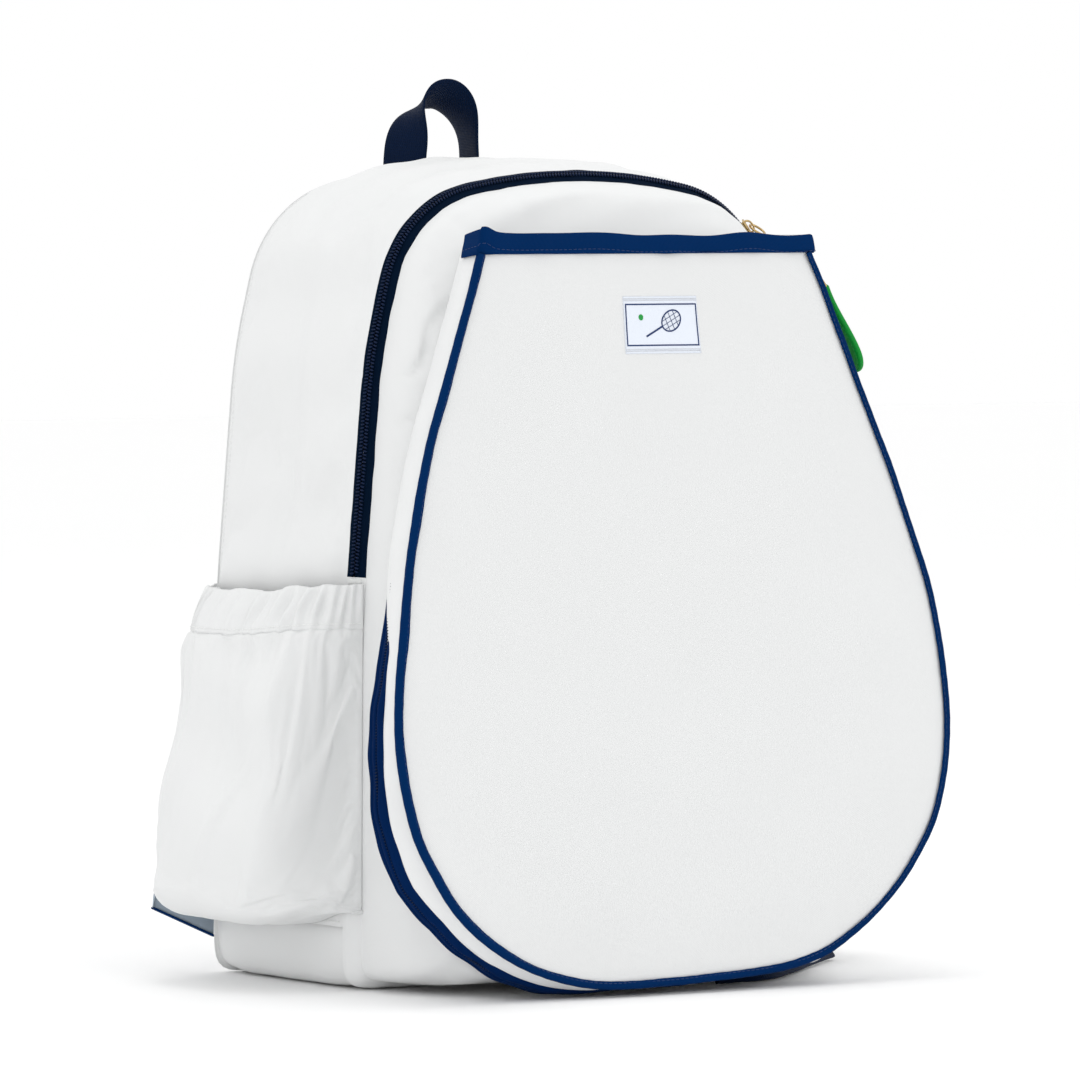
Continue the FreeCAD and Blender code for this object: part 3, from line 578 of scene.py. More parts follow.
grey_thread = woven("grey_thread", srgb(206, 208, 212), (0.3, 0.3), depth=0.03, uv=False)
label_cloth = woven("label_satin", srgb(226, 232, 242), (0.3, 0.5), depth=0.04, roughness=(0.4, 0.55),
                    sheen=0.2, mottle=0.02, valley_shade=0.04)
mesh_cloth = woven("pad_air_mesh", srgb(224, 226, 228), (2.4, 2.4), "mesh", depth=0.5, roughness=(0.7, 0.85),
                   mottle=0.03, valley_shade=0.16)
anchor_cloth = woven("anchor_cloth_grey", srgb(150, 163, 176), (0.6, 0.6), depth=0.06, mottle=0.05)
lining_cloth = woven("lining_cloth_grey", srgb(196, 199, 203), (0.5, 0.5), depth=0.04, mottle=0.04)
brass = metal("brushed_brass", srgb(196, 168, 116))
green_leather = leather("green_tag_leather", srgb(0, 140, 46))
buckle = plastic("buckle_navy_plastic", srgb(18, 26, 44))
board = plastic("stiffener_board", srgb(60, 60, 62), (0.5, 0.6))


# ---- cloth simulation -------------------------------------------------------

pending = []


def settle_later(o, pins, cap, grow=0.02, pressure=0.0, gravity=0.0, bend=0.5, stiff=15.0):
    """Queues a cloth simulation of a sheet; pins are 0 to 1 per point, cap in millimetres."""
    group = o.vertex_groups.new(name="pins")
    for i, weight in enumerate(np.asarray(pins, float).ravel()):
        group.add([i], float(weight), "REPLACE")
    pending.append((o, cap, dict(grow=grow, pressure=pressure, gravity=gravity, bend=bend, stiff=stiff)))


def settle_all(frames=24):
    """Runs the queued simulations together and applies them, each with its cap."""
    for o, _, facts in pending:
        m = o.modifiers.new("settle", "CLOTH")
        m.settings.quality = 5
        m.settings.mass = 0.15
        m.settings.tension_stiffness = m.settings.compression_stiffness = facts["stiff"]
        m.settings.shear_stiffness = facts["stiff"] / 3
        m.settings.bending_stiffness = facts["bend"]
        m.settings.vertex_group_mass = "pins"
        m.settings.shrink_min = -facts["grow"]
        m.settings.effector_weights.gravity = facts["gravity"]
        if facts["pressure"]:
            m.settings.use_pressure = True
            m.settings.uniform_pressure_force = facts["pressure"]
        m.point_cache.frame_end = frames
    scene = bpy.context.scene
    for f in range(1, frames + 1):
        scene.frame_set(f)
    graph = bpy.context.evaluated_depsgraph_get()
    for o, cap, _ in pending:
        mesh = o.evaluated_get(graph).to_mesh()
        new = np.zeros(len(mesh.vertices) * 3)
        mesh.vertices.foreach_get("co", new)
        old = np.zeros(len(o.data.vertices) * 3)
        o.data.vertices.foreach_get("co", old)
        move = new.reshape(-1, 3) - old.reshape(-1, 3)
        size = np.linalg.norm(move, axis=1, keepdims=True)
        limit = cap * MM
        move *= np.tanh(size / limit) * limit / np.maximum(size, 1e-9)
        o.data.vertices.foreach_set("co", (old + move.ravel()).astype(np.float32))
        o.data.update()
    scene.frame_set(1)
    for o, _, _ in pending:
        for m in [m for m in o.modifiers if m.type == "CLOTH"]:
            o.modifiers.remove(m)
        o.vertex_groups.clear()
    pending.clear()


# ---- main compartment: gusset, base, back -----------------------------------

CREST = (372.0, 408.0)      # the gusset turns from its sides to its top between these heights


def seam_rows_across(count):
    """Places across the gusset from back to front, with a row close to each seam."""
    return np.concatenate([[HALF_DEPTH], np.linspace(HALF_DEPTH - 1.2, -HALF_DEPTH + 1.2, count), [-HALF_DEPTH]])


def gusset_points(s, y):
    """The gusset with its soft bulge and long folds; positive bulge is outwards."""
    S, Y = np.meshgrid(s, y, indexing="ij")
    p, n = arch.at(S)
    z = p[..., 1]
    belly = 2.6 * (1 - (Y / HALF_DEPTH) ** 2) * smooth(20, 90, z)
    edge = np.minimum(HALF_DEPTH - Y, Y + HALF_DEPTH)
    across = waves(3, S * 0.35, Y, n=8, short=26, long=70)
    along = waves(4, S, Y * 0.25, n=8, short=34, long=120)
    soft = smooth(0, 16, edge)
    top = smooth(*CREST, z)
    wrinkle = soft * (1.2 * across * top + 1.9 * along * (1 - top) * smooth(60, 200, z))
    side_fold = 2.6 * bump(Y, 4 + 10 * np.sin(z / 60.0), 9.0) * smooth(190, 240, z) * (1 - smooth(330, 385, z))
    seam = 0.8 * np.exp(-(edge / 2.2) ** 2)
    radiate = 1.3 * top * np.sin((S - arch.length / 2) / 5.0 + Y * 0.02) * np.exp(-(edge / 26.0)) * soft
    bulge = belly + wrinkle - side_fold * soft - seam + radiate
    x, zz = arch_at(S, -bulge)
    return np.stack([x, Y + 0 * x, zz], -1)


def gusset():
    s = np.linspace(*SIDE_FROM, 260)
    P = gusset_points(s, seam_rows_across(33))
    o = grid("main_gusset_nylon", P, nylon)
    pins = np.zeros(P.shape[:2])
    pins[:, :3] = pins[:, -3:] = pins[:3] = pins[-3:] = 1.0
    settle_later(o, pins, cap=2.6, grow=0.022, pressure=0.35, bend=1.2)
    return o


gusset_cloth = gusset()


def base():
    """The base wraps from the seam on one side, under the bag, to the seam on the other."""
    s = np.concatenate([np.linspace(SIDE_FROM[1], arch.length, 70)[:-1], np.linspace(0, SIDE_FROM[0], 70)])
    S, Y = np.meshgrid(s, seam_rows_across(25), indexing="ij")
    p, _ = arch.at(S)
    edge = np.minimum(HALF_DEPTH - Y, Y + HALF_DEPTH)
    z = p[..., 1]
    corner = 1.6 * np.exp(-(edge / 15.0) ** 2) * np.exp(-((z - 9) / 15.0) ** 2)
    soft = 0.5 * waves(8, p[..., 0], Y, z, short=26, long=60) * smooth(2, 14, edge) * smooth(1.0, 14, z)
    seam = 1.2 * np.exp(-(edge / 2.2) ** 2) * smooth(0.0, 12, z) + 1.0 * np.exp(-((SEAM_HEIGHT - z) / 2.0) ** 2)
    x, zz = arch_at(S, corner - soft + seam - 1.2 * bump(z, 20, 9) * smooth(0, 20, edge))
    return grid("base_panel_nylon", squared(np.stack([x, Y, np.maximum(zz, 0.0)], -1)), nylon)


base_cloth = base()


def back_panel():
    """A padded rear panel: a crowned face with quilted channels, closed at the back seam."""
    border, middle = 22.0, 112.0        # rings follow the arch as far as the border, then draw in to the middle
    s = np.linspace(0, arch.length, 420, endpoint=False)
    insets = np.concatenate([[-9.0, -4.0, 0.0, 0.6, 1.6, 3.4, 6.0, 9.0], np.linspace(13, middle, 34)])
    rings = []
    for k in insets:
        if k < 0.0:
            x, z = arch_at(s, -k)
            rings.append(np.stack([x, np.full_like(x, HALF_DEPTH - 0.1 + 0.03 * k), z], -1))
            continue
        x, z = arch_at(s, min(k, border))
        if k > border:
            f = (k - border) / (middle - border)
            x, z = x + (0.0 * x - x) * f, z + (np.clip(z, 120, 300) - z) * f
        depth = 9.0 * (1 - math.exp(-k / 4.2))
        face = smooth(8, border, k)
        lumbar = 2.6 * np.exp(-((z - 95) / 60.0) ** 2) * face
        swell = 1.8 * face * (0.5 + 0.5 * np.cos(2 * PI * (z - 30) / 52.0))
        spine = -2.4 * face * np.exp(-(x / 9.0) ** 2) * smooth(40, 70, z) * (1 - smooth(340, 370, z))
        y = HALF_DEPTH + depth + lumbar + swell + spine - 0.9 * face
        rings.append(np.stack([x, y, z], -1))
    P = np.stack(rings, 1)
    P[..., 2] = np.maximum(P[..., 2], 0.0)
    P = squared(P)
    o = grid("back_panel_padded", P, nylon, close_u=True, uv=flat_uv(P), flip=True)
    o.data.materials.append(mesh_cloth)
    for polygon in o.data.polygons:
        ring = min(polygon.vertices) % len(insets)
        polygon.material_index = int(insets[ring] > 11.0)
    return o


back_cloth = back_panel()


# ---- front panel, which is split where the top folds forward -----------------

DOME_SPINE = 100.0
RAMP = (60.0, 95.0)         # between these, on each side above the fold, a ramp piece is cut off between the flap's middle and the fixed part


def dome_points(s, insets):
    """The front panel's dome, then a flat that leans back, closed at a spine."""
    rows = []
    for k in insets:
        part = min(1.0, (k - DOME[0]) / (DOME[1] - DOME[0]))
        rise = math.sqrt(max(0.0, 1 - (1 - part) ** 2))
        low = DOME_BOTTOM[0] + part * (DOME_BOTTOM[1] - DOME_BOTTOM[0])
        x, z = arch_at(s, min(k, DOME[1]), low)
        if k > DOME[1]:
            f = (k - DOME[1]) / (DOME_SPINE - DOME[1])
            x, z = x * (1 - f), z + (np.clip(z, 130, 300) - z) * f
        back = -HALF_DEPTH - BEVEL[1]
        flat = FOOT_Y + z * math.tan(LEAN)
        y = back + rise * (flat - back)
        rows.append(np.stack([x, y, z], -1))
    P = np.stack(rows, 1)
    x, y, z = P[..., 0], P[..., 1], P[..., 2]
    K = np.broadcast_to(np.array(insets), x.shape)
    room = smooth(DOME[0] + 0.5, 13, K) * (1 - smooth(34, 52, K))
    soft = 1.3 * room * waves(21, x * 0.5, z, y * 2, n=10, short=24, long=80)
    slanted = z + np.abs(x) * 1.3 + 5.0 * waves(22, x, z, n=6, short=30, long=80)
    pinched = 1 - 2 * np.abs(np.sin(slanted / 11.5)) ** 0.7
    fine = 1 - 2 * np.abs(np.sin(slanted / 6.1 + 1.0)) ** 0.8
    pulls = room * bump(z, 300, 78) * bump(np.abs(x), 118, 20) * (2.9 * pinched + 1.1 * fine)
    S = np.broadcast_to(np.asarray(s)[:, None], x.shape)
    pucker = 0.7 * smooth(330, 380, z) * np.exp(-(K - DOME[0]) / 7.0) * waves(23, S, n=8, short=9, long=34)
    seam = 1.0 * np.exp(-((K - DOME[0]) / 1.6) ** 2)
    P[..., 1] = y + np.clip(soft + pulls, -1.8, 4.4) + pucker + seam
    P[..., 2] = np.maximum(z, 1.0)
    return squared(P)


def split_object(o, name, nodes):
    """Cuts an object's faces into the fixed part, the flap's middle and its two ramps."""
    mesh = o.data
    mesh.update()
    normals = np.array([n.vector[:] for n in mesh.vertex_normals])
    co = np.array([v.co[:] for v in mesh.vertices]) / MM
    centres = np.array([p.center[:] for p in mesh.polygons]) / MM
    up = centres[:, 2] > FLAP_FOLD_Z
    x = centres[:, 0]
    regions = {
        "fixed": ~up | (np.abs(x) > RAMP[1]),
        "middle": up & (np.abs(x) <= RAMP[0]),
        "right": up & (x > RAMP[0]) & (x <= RAMP[1]),
        "left": up & (x < -RAMP[0]) & (x >= -RAMP[1]),
    }
    made = {}
    for key, chosen in regions.items():
        piece = o.copy()
        piece.data = mesh.copy()
        piece.name = piece.data.name = name + "_" + key
        bpy.context.scene.collection.objects.link(piece)
        b = bmesh.new()
        b.from_mesh(piece.data)
        b.faces.ensure_lookup_table()
        tag = b.verts.layers.int.new("source")
        for i, v in enumerate(b.verts):
            v[tag] = i
        bmesh.ops.delete(b, geom=[b.faces[i] for i in np.nonzero(~chosen)[0]], context="FACES")
        source = np.array([v[tag] for v in b.verts])
        b.verts.layers.int.remove(tag)
        b.to_mesh(piece.data)
        b.free()
        piece.data.normals_split_custom_set_from_vertices(normals[source].tolist())
        made[key] = piece
    bpy.data.objects.remove(o)
    shown(made["fixed"], "bag", nodes[0])
    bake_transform(made["middle"])
    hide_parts(nodes[1])
    for key, sign in (("right", 1), ("left", -1)):
        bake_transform(made[key])


def front():
    s = np.linspace(0, arch.length, 620, endpoint=False)
    dome = DOME[0] + (DOME[1] - DOME[0]) * (np.linspace(0, 1, 22) ** 1.5)
    P = dome_points(s, np.concatenate([dome, np.linspace(46, DOME_SPINE, 16)]))
    o = clean(grid("front_panel_whole", P, nylon, close_u=True, uv=flat_uv(P)))
    split_object(o, "front_panel_nylon", ("front_panel", "flap_panel"))


front()


def lower_bevel_cloth():
    """Below the zip the bevel is plain cloth, with a stitched seam along the gusset."""
    s = np.concatenate([np.linspace(ZIP_FROM[1], arch.length, 240)[:-1], np.linspace(0, ZIP_FROM[0], 240)])
    down = np.concatenate([[0.0, 0.5], np.linspace(1.2, BEVEL_LENGTH - 1.0, 8), [BEVEL_LENGTH]])
    S, D = np.meshgrid(s, down, indexing="ij")
    f = D / BEVEL_LENGTH
    low = DOME_BOTTOM[0] * f
    x, z = arch_at(S, BEVEL[0] * f, low)
    puff = 0.35 * np.sin(PI * f) - 0.6 * (np.exp(-(D / 1.3) ** 2) + np.exp(-((BEVEL_LENGTH - D) / 1.3) ** 2))
    _, n = arch.at(S)
    pucker = 0.25 * np.sin(S / 2.3) * np.sin(PI * f)
    y = -HALF_DEPTH - BEVEL[1] * f - 0.55 * (puff + pucker)
    x, z = x + n[..., 0] * 0.83 * (puff + pucker), z + n[..., 1] * 0.83 * (puff + pucker)
    P = squared(np.stack([x, y, np.maximum(z, 0.4)], -1))
    return shown(grid("lower_front_seam_nylon", P, nylon), "bag", slot="white_nylon")


lower_seam = lower_bevel_cloth()


# ---- main zip ---------------------------------------------------------------

def main_tape(name, down0, down1, wavy, nodes, split):
    """One half's woven tape, lying on the bevel; its sewn edge wanders a little."""
    s = np.linspace(*ZIP_FROM, 360)
    S, F = np.meshgrid(s, np.linspace(0, 1, 9), indexing="ij")
    edge = wavy * waves(31, S, n=7, short=14, long=60)
    D = down0 + (down1 - down0) * F + edge * F
    out = -0.5 + 0.35 * np.sin(PI * F) + 0.12 * waves(32, S, D, n=6, short=16, long=50)
    o = grid(name, bevel(S, D, out), tape_navy)
    if split:
        split_object(o, name, nodes)
    else:
        shown(o, "bag", *nodes, slot="zip_tape")


def coil_teeth(name, down, nodes, split, phase):
    """Coil turns, each across the zip and slightly slanted."""
    pitch = 1.8
    height = 0.45
    s = np.arange(ZIP_FROM[0] + 1.0 + phase * pitch, ZIP_FROM[1] - 1.0, pitch)
    place = bevel(s, down, height)
    across = unit(bevel(s, down + 0.5, height) - place)
    along = unit(bevel(s + 0.4, down, height) - bevel(s - 0.4, down, height))
    up = unit(np.cross(along, across))
    up *= np.sign((up * (bevel(s, down, 1.0) - place)).sum(-1, keepdims=True))
    slant = unit(across + along * (0.22 if phase else -0.22))
    bead = capsule(2.3, 1.15, 1.5, rings=6)
    o = instances(name, bead, place, slant, unit(np.cross(up, slant)), up, coil_navy)
    if split:
        split_object(o, name, nodes)
    else:
        shown(o, "bag", *nodes, slot="zip_coil")


main_tape("zip_outer_tape_cloth", 0.3, 3.6, 0.0, ("zip_outer_tape",), False)
main_tape("zip_inner_tape_cloth", 4.6, BEVEL_LENGTH + 1.0, 0.22, ("zip_inner_tape", "flap_zip_tape"), True)
coil_teeth("zip_outer_teeth", 3.35, ("zip_outer_coil",), False, 0.0)
coil_teeth("zip_inner_teeth", 5.6, ("zip_inner_coil", "flap_zip_coil"), True, 0.5)


def zip_bartacks():
    """A dense bar of thread across each end of the main zip."""
    for key, s0 in (("right", ZIP_FROM[0] - 2.2), ("left", ZIP_FROM[1] + 2.2)):
        down = np.arange(1.6, 8.6, 0.42)
        place = bevel(np.full(len(down), s0), down, 0.75)
        along = unit(bevel(np.full(len(down), s0 + 0.5), down, 0.75) - place)
        up = unit(bevel(np.full(len(down), s0), down, 1.4) - place)
        side = unit(np.cross(up, along))
        o = instances("zip_bartack_" + key, capsule(3.6, 0.5, 0.7), place, along, side, up, white_thread)
        shown(o, "bag", *(["zip_end_stops"] if key == "right" else []))


zip_bartacks()


# ---- racket sleeve ----------------------------------------------------------

SLEEVE_FOOT, SLEEVE_DEPTH = SLEEVE[0][1], 22.0
SLEEVE_OUT = leaning(0, 0, 1.0) - leaning(0, 0, 0.0)        # straight out of the sleeve's plane


def half_width(up, inset):
    """Half the sleeve's width at a height on its own plane."""
    p = teardrop.points - inset * teardrop.normals
    chosen = (p[:, 0] > 0) & (teardrop.points[:, 1] < MOUTH_TOP - 0.01)
    order = np.argsort(p[chosen, 1])
    return np.interp(up, p[chosen, 1][order], p[chosen, 0][order])


def sleeve_face(name, inset, out, material, bulge, rows, columns):
    """A sheet over the teardrop; bulge(x, up, share of the half width) gives how far it stands out."""
    low = SLEEVE_FOOT + inset
    up = low + (MOUTH_TOP - low) * np.linspace(0, 1, rows) ** 1.7
    w = np.sin(np.linspace(-PI / 2, PI / 2, columns)) * 0.5 + np.linspace(-1, 1, columns) * 0.5
    U, W = np.meshgrid(up, w, indexing="ij")
    X = half_width(U, inset) * W
    return grid(name, leaning(X, U, out + bulge(X, U, W)), material, uv=np.stack([X, U], -1), flip=True)


def canvas_bulge(x, up, w):
    """The padded front: a low crown that sinks into its bindings, with soft pulls under the mouth."""
    edge = (1 - np.abs(w)) * half_width(up, 0)
    near = np.minimum(edge, np.minimum(up - SLEEVE_FOOT, np.maximum(MOUTH_TOP - 6.0 - up, 0.0)))
    crown = 2.4 * (1 - np.exp(-near / 45.0))
    ease = smooth(4, 22, near)
    soft = 0.42 * ease * waves(51, x, up, n=10, short=55, long=140)
    pulls = 0.35 * ease * np.exp(-(MOUTH_TOP - up) / 34.0) * waves(52, x, up * 0.25, n=7, short=14, long=34)
    sink = -0.9 * np.exp(-near / 3.2) - 0.5 * np.exp(-((MOUTH_TOP - 12 - up) / 4.0) ** 2)
    return crown + soft + pulls + sink


def pad_bulge(x, up, w):
    """The quilted foam inside the sleeve's front."""
    return -0.7 * (1 - np.abs(w) ** 6) * (0.6 + 0.4 * np.cos(up / 9.0)) + 0.25 * waves(53, x, up)


def back_bulge(x, up, w):
    return 0.5 * waves(54, x, up, short=40, long=110) * (1 - np.abs(w) ** 8) * 0.5


front_canvas = sleeve_face("sleeve_front_canvas", 0.9, SLEEVE_DEPTH, canvas, canvas_bulge, 120, 96)
thicken(front_canvas, 0.9)
shown(front_canvas, "sleeve_cover", "sleeve_front_panel", slot="white_canvas")
front_inner = sleeve_face("sleeve_front_inner_pad", 2.2, SLEEVE_DEPTH - 4.0, lining_cloth, pad_bulge, 70, 60)
thicken(front_inner, 1.8, 1.0)
shown(front_inner, "sleeve_cover", "sleeve_front_foam", "sleeve_front_lining", slot="lining_cloth")
back_sheet = sleeve_face("sleeve_back_panel_nylon", 2.0, 1.2, nylon, back_bulge, 70, 60)
thicken(back_sheet, 1.0)
shown(back_sheet, "bag", "sleeve_back_panel", slot="white_nylon")


def rim_profile(count, section, start, end, wobble):
    """A profile of (inset, out) points carried round the sleeve's edge."""
    s = rim(count, start, end)
    rows = []
    for inset, out in section:
        more_inset, more_out = wobble(s, inset, out)
        rows.append(rim_path(s, inset + more_inset, out + more_out))
    return np.stack(rows, 1)


def rim_share(up, samples=4000):
    """How far along the rim its left side passes a height, from 0 to 1."""
    p = teardrop.at(rim(samples))[0]
    return float(np.argmin(np.abs(p[:, 1] - up) + (p[:, 0] > 0) * 999)) / (samples - 1)


ZIP_SHARE = rim_share(SLEEVE_ZIP_END)
BINDING_TOP = rim_share(369.2)

# The front binding: grosgrain folded over the raw edges, softly rounded.
BIND = [(1.6, 21.7), (2.7, 22.5), (2.95, 22.85), (2.5, 23.1), (1.3, 23.3), (0.3, 23.15), (-0.35, 22.6),
        (-0.6, 21.9), (-0.6, 21.0), (-0.45, 20.2), (-0.1, 19.8), (0.4, 20.0)]


def bind_wobble(s, inset, out):
    return 0.16 * waves(61, s, n=6, short=30, long=90) * (out > 21) + 0.05 * np.sin(s / 1.45), \
        0.10 * waves(62, s, n=6, short=16, long=60)


binding = grid("sleeve_front_binding_tape", rim_profile(760, BIND, BINDING_TOP, 1 - BINDING_TOP, bind_wobble),
               binding_navy, flip=True)
thicken(binding, 0.3, 1.0)
shown(binding, "sleeve_cover", "sleeve_front_binding", slot="navy_binding")
binding_row = rim_path(rim(1400, BINDING_TOP, 1 - BINDING_TOP), 2.2, 23.42)
shown(stitches("binding_stitch_line", binding_row, SLEEVE_OUT, navy_thread), "sleeve_cover")


def gusset_band():
    """The sleeve's white gusset, a little puffed, with soft pulls; on the left its upper part is sewn on."""
    s = rim(620)
    share = np.linspace(0, 1, len(s))
    sewn = (1 - smooth(ZIP_SHARE - 0.004, ZIP_SHARE + 0.075, share)) * (share < 0.5)
    calm = smooth(0, 0.03, share) * smooth(0, 0.03, 1 - share)
    wide = 0.6 + 1.0 * sewn
    start = 11.0 + (0.7 - 11.0) * sewn
    rows = []
    for g in np.concatenate([[0.0, 0.03], np.linspace(0.08, 0.92, 12), [0.97, 1.0]]):
        puff = (1.15 * wide * calm * math.sin(PI * g) - 0.6 * (1 - calm)
                - 0.5 * math.exp(-g / 0.05) - 0.4 * math.exp(-(1 - g) / 0.06))
        pulls = 0.34 * wide * calm * math.sin(PI * g) * waves(71, s, s * 0 + g * 18, n=8, short=16, long=60)
        rows.append(rim_path(s, 0.55 - puff - pulls, start + (20.6 - start) * g))
    o = thicken(grid("sleeve_gusset_nylon", np.stack(rows, 1), nylon), 0.8)
    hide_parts("sleeve_gusset")
    low, high = leaning(-120.0, 340.0, 0.9), leaning(-120.0, 340.0, 10.6)
    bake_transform(o)


gusset_band()

# The sleeve's zip: tape outwards, so each half shows as a soft navy band with a slit between.
BAND_BACK = [(4.2, 0.1), (1.6, 0.1), (-0.2, 0.5), (-0.75, 1.5), (-0.55, 2.7), (0.1, 3.3), (-0.2, 4.0),
             (-0.75, 5.2), (-0.7, 6.4), (-0.1, 7.05), (1.2, 7.2)]
BAND_FRONT = [(1.2, 7.8), (-0.1, 7.95), (-0.7, 8.6), (-0.8, 9.8), (-0.3, 10.9), (0.5, 11.6), (1.4, 12.0)]


def band_wobble(s, inset, out):
    """The band wanders a little, and comes out from under the gusset's sewn part in a long wedge."""
    wedge = 3.4 * (1 - smooth(0, 1, (s - s[0]) / 70.0)) ** 2
    return 0.25 * waves(81, s, n=7, short=18, long=60) + wedge, \
        0.28 * waves(82, s, n=7, short=22, long=70) * smooth(1.0, 3.0, out)


def band(name, section, body, *nodes):
    o = grid(name, rim_profile(700, section, ZIP_SHARE + 0.002, 1.0 - 0.0006, band_wobble), band_navy)
    shown(thicken(o, 0.5), body, *nodes, slot="zip_tape")


band("sleeve_zip_back_tape", BAND_BACK, "bag", "sleeve_back_piping", "sleeve_zip_tape_back")
band("sleeve_zip_front_tape", BAND_FRONT, "sleeve_cover", "sleeve_zip_tape_front")


def rim_teeth(name, out, slant, body, *nodes):
    """The coil's turns, which show in the slit between the two tapes."""
    pitch = 1.5
    s = rim(int(RIM_TOTAL * (1 - ZIP_SHARE) / pitch), ZIP_SHARE + 0.004, 0.9985)
    place = rim_path(s, 0.35, out)
    along = unit(rim_path(s + 0.4, 0.35, out) - rim_path(s - 0.4, 0.35, out))
    up = unit(rim_path(s, -1.0, out) - place)
    lean = unit(unit(np.cross(along, up)) + along * slant)
    o = instances(name, capsule(0.95, 0.8, 1.7), place, lean, unit(np.cross(up, lean)), up, coil_navy)
    shown(o, body, *nodes, slot="zip_coil")


rim_teeth("sleeve_teeth_back", 7.0, 0.3, "bag", "sleeve_zip_coil_back")
rim_teeth("sleeve_teeth_front", 8.0, -0.3, "sleeve_cover", "sleeve_zip_coil_front")


def mouth_stations():
    """Rows of (side, tuck, out, across, ahead): round the left end, along the front, round the right end."""
    corner, front = 2.2, 22.6
    flat = front - corner
    quarter = np.linspace(0, PI / 2, 7)[1:-1]
    def turn(sign, a):
        return (sign, corner * (1 - math.cos(a)), flat + corner * math.sin(a), sign * math.cos(a), math.sin(a))
    rows = [(-1.0, 0.0, out, -1.0, 0.0) for out in np.linspace(6.0, flat, 14)]
    rows += [turn(-1.0, a) for a in quarter]
    rows += [(w, corner, front, 0.0, 1.0) for w in np.linspace(-1, 1, 170)]
    rows += [turn(1.0, a) for a in quarter[::-1]]
    rows += [(1.0, 0.0, out, 1.0, 0.0) for out in np.linspace(flat, 11.4, 14)]
    return (column[:, None] for column in np.array(rows).T)


MOUTH_SECTION = [(-2.6, 370.1), (-1.5, 369.2), (-0.2, 368.7), (0.35, 369.1), (0.62, 370.6), (0.7, 372.3),
                 (0.7, 374.6), (0.62, 377), (0.3, 378.6), (-0.5, 379.1), (-1.5, 379.0), (-2.3, 378.4),
                 (-2.6, 377), (-2.6, 373), (-2.5, 370.4)]


def mouth_points():
    """Grosgrain folded over the top edge, wrapped round the gusset at both ends, with a horn at the left one."""
    side, tuck, out, across, ahead = mouth_stations()
    away, up = np.array(MOUTH_SECTION, float).T[:, None]
    x = side * 104.0
    upper = up > 370
    lift = np.where(upper, 0.9 * waves(91, x, out, n=6, short=26, long=90),
                    0.35 * waves(92, x, out, n=6, short=20, long=60))
    ripple = 0.35 * waves(93, x, up * 0.4, out, n=6, short=14, long=46)
    horn = upper * np.where(ahead > 0.3, 2.6 * np.exp(-((side + 1.0) * 104 / 5.0) ** 2), 1.6 * (side < 0))
    u = up + lift * (up > 369.0) * 0.8 + horn
    right = np.maximum(side, 0.0)
    width = half_width(np.minimum(u, 377.9) * (1 - right ** 4) + 376.0 * right ** 4, 0.0)
    x = side * (width + 0.9 - tuck) + across * (away + ripple * 0.7) + 5.0 * right ** 8
    return leaning(x, u, out + ahead * (away + ripple))


mouth_rows = mouth_points()
mouth = grid("sleeve_mouth_binding_tape", mouth_rows, binding_navy, close_v=True, caps=True)
shown(mouth, "sleeve_cover", "sleeve_mouth_binding", slot="navy_binding")
mouth_out = unit(mouth_rows[:, 5] - mouth_rows[:, 12])
shown(stitches("mouth_stitch_line", mouth_rows[:, 4] + mouth_out * 0.12, mouth_out, navy_thread), "sleeve_cover")


# ---- woven label ------------------------------------------------------------

LABEL_AT = (5.3, 334.0)
LABEL_SIZE = (49.0, 27.4)


def label_out(x, up):
    return SLEEVE_DEPTH + canvas_bulge(x, up, x / half_width(up, 0.9)) + 0.25


def label_patch():
    """The woven patch, whose edge curls down to the canvas."""
    half_w, half_h = LABEL_SIZE[0] / 2, LABEL_SIZE[1] / 2
    X, U = np.meshgrid(LABEL_AT[0] + np.linspace(-half_w, half_w, 60),
                       LABEL_AT[1] + np.linspace(-half_h, half_h, 36), indexing="ij")
    edge = np.minimum(np.minimum(X - X.min(), X.max() - X), np.minimum(U - U.min(), U.max() - U))
    out = label_out(X, U) + 0.35 - 0.25 * np.exp(-edge / 0.5)
    o = grid("label_patch_satin", leaning(X, U, out), label_cloth, uv=np.stack([X, U], -1))
    return shown(thicken(o, 0.5), "sleeve_cover", "label_patch", slot="label_weave")


label = label_patch()


def label_line(name, points, width, material, closed=False):
    """A satin-stitched line: a low rounded ribbon over the label."""
    points = np.asarray(points, float)
    if closed:
        points = np.concatenate([points, points[:1]])
    s = lengths(points)
    count = max(int(s[-1] / 0.5), 4)
    at = np.linspace(0, s[-1], count)
    X, U = (np.interp(at, s, points[:, k]) + LABEL_AT[k] for k in range(2))
    centre = leaning(X, U, label_out(X, U) + 0.42)
    up = np.tile(unit(SLEEVE_OUT), (count, 1))
    side = unit(np.cross(up, unit(np.gradient(centre, axis=0))))
    angles = np.linspace(0, 2 * PI, 8, endpoint=False)
    profile = np.stack([np.cos(angles) * width / 2, np.sin(angles) * 0.16], 1)
    shown(sweep(name, centre, side, up, profile, material, flip=True), "sleeve_cover")


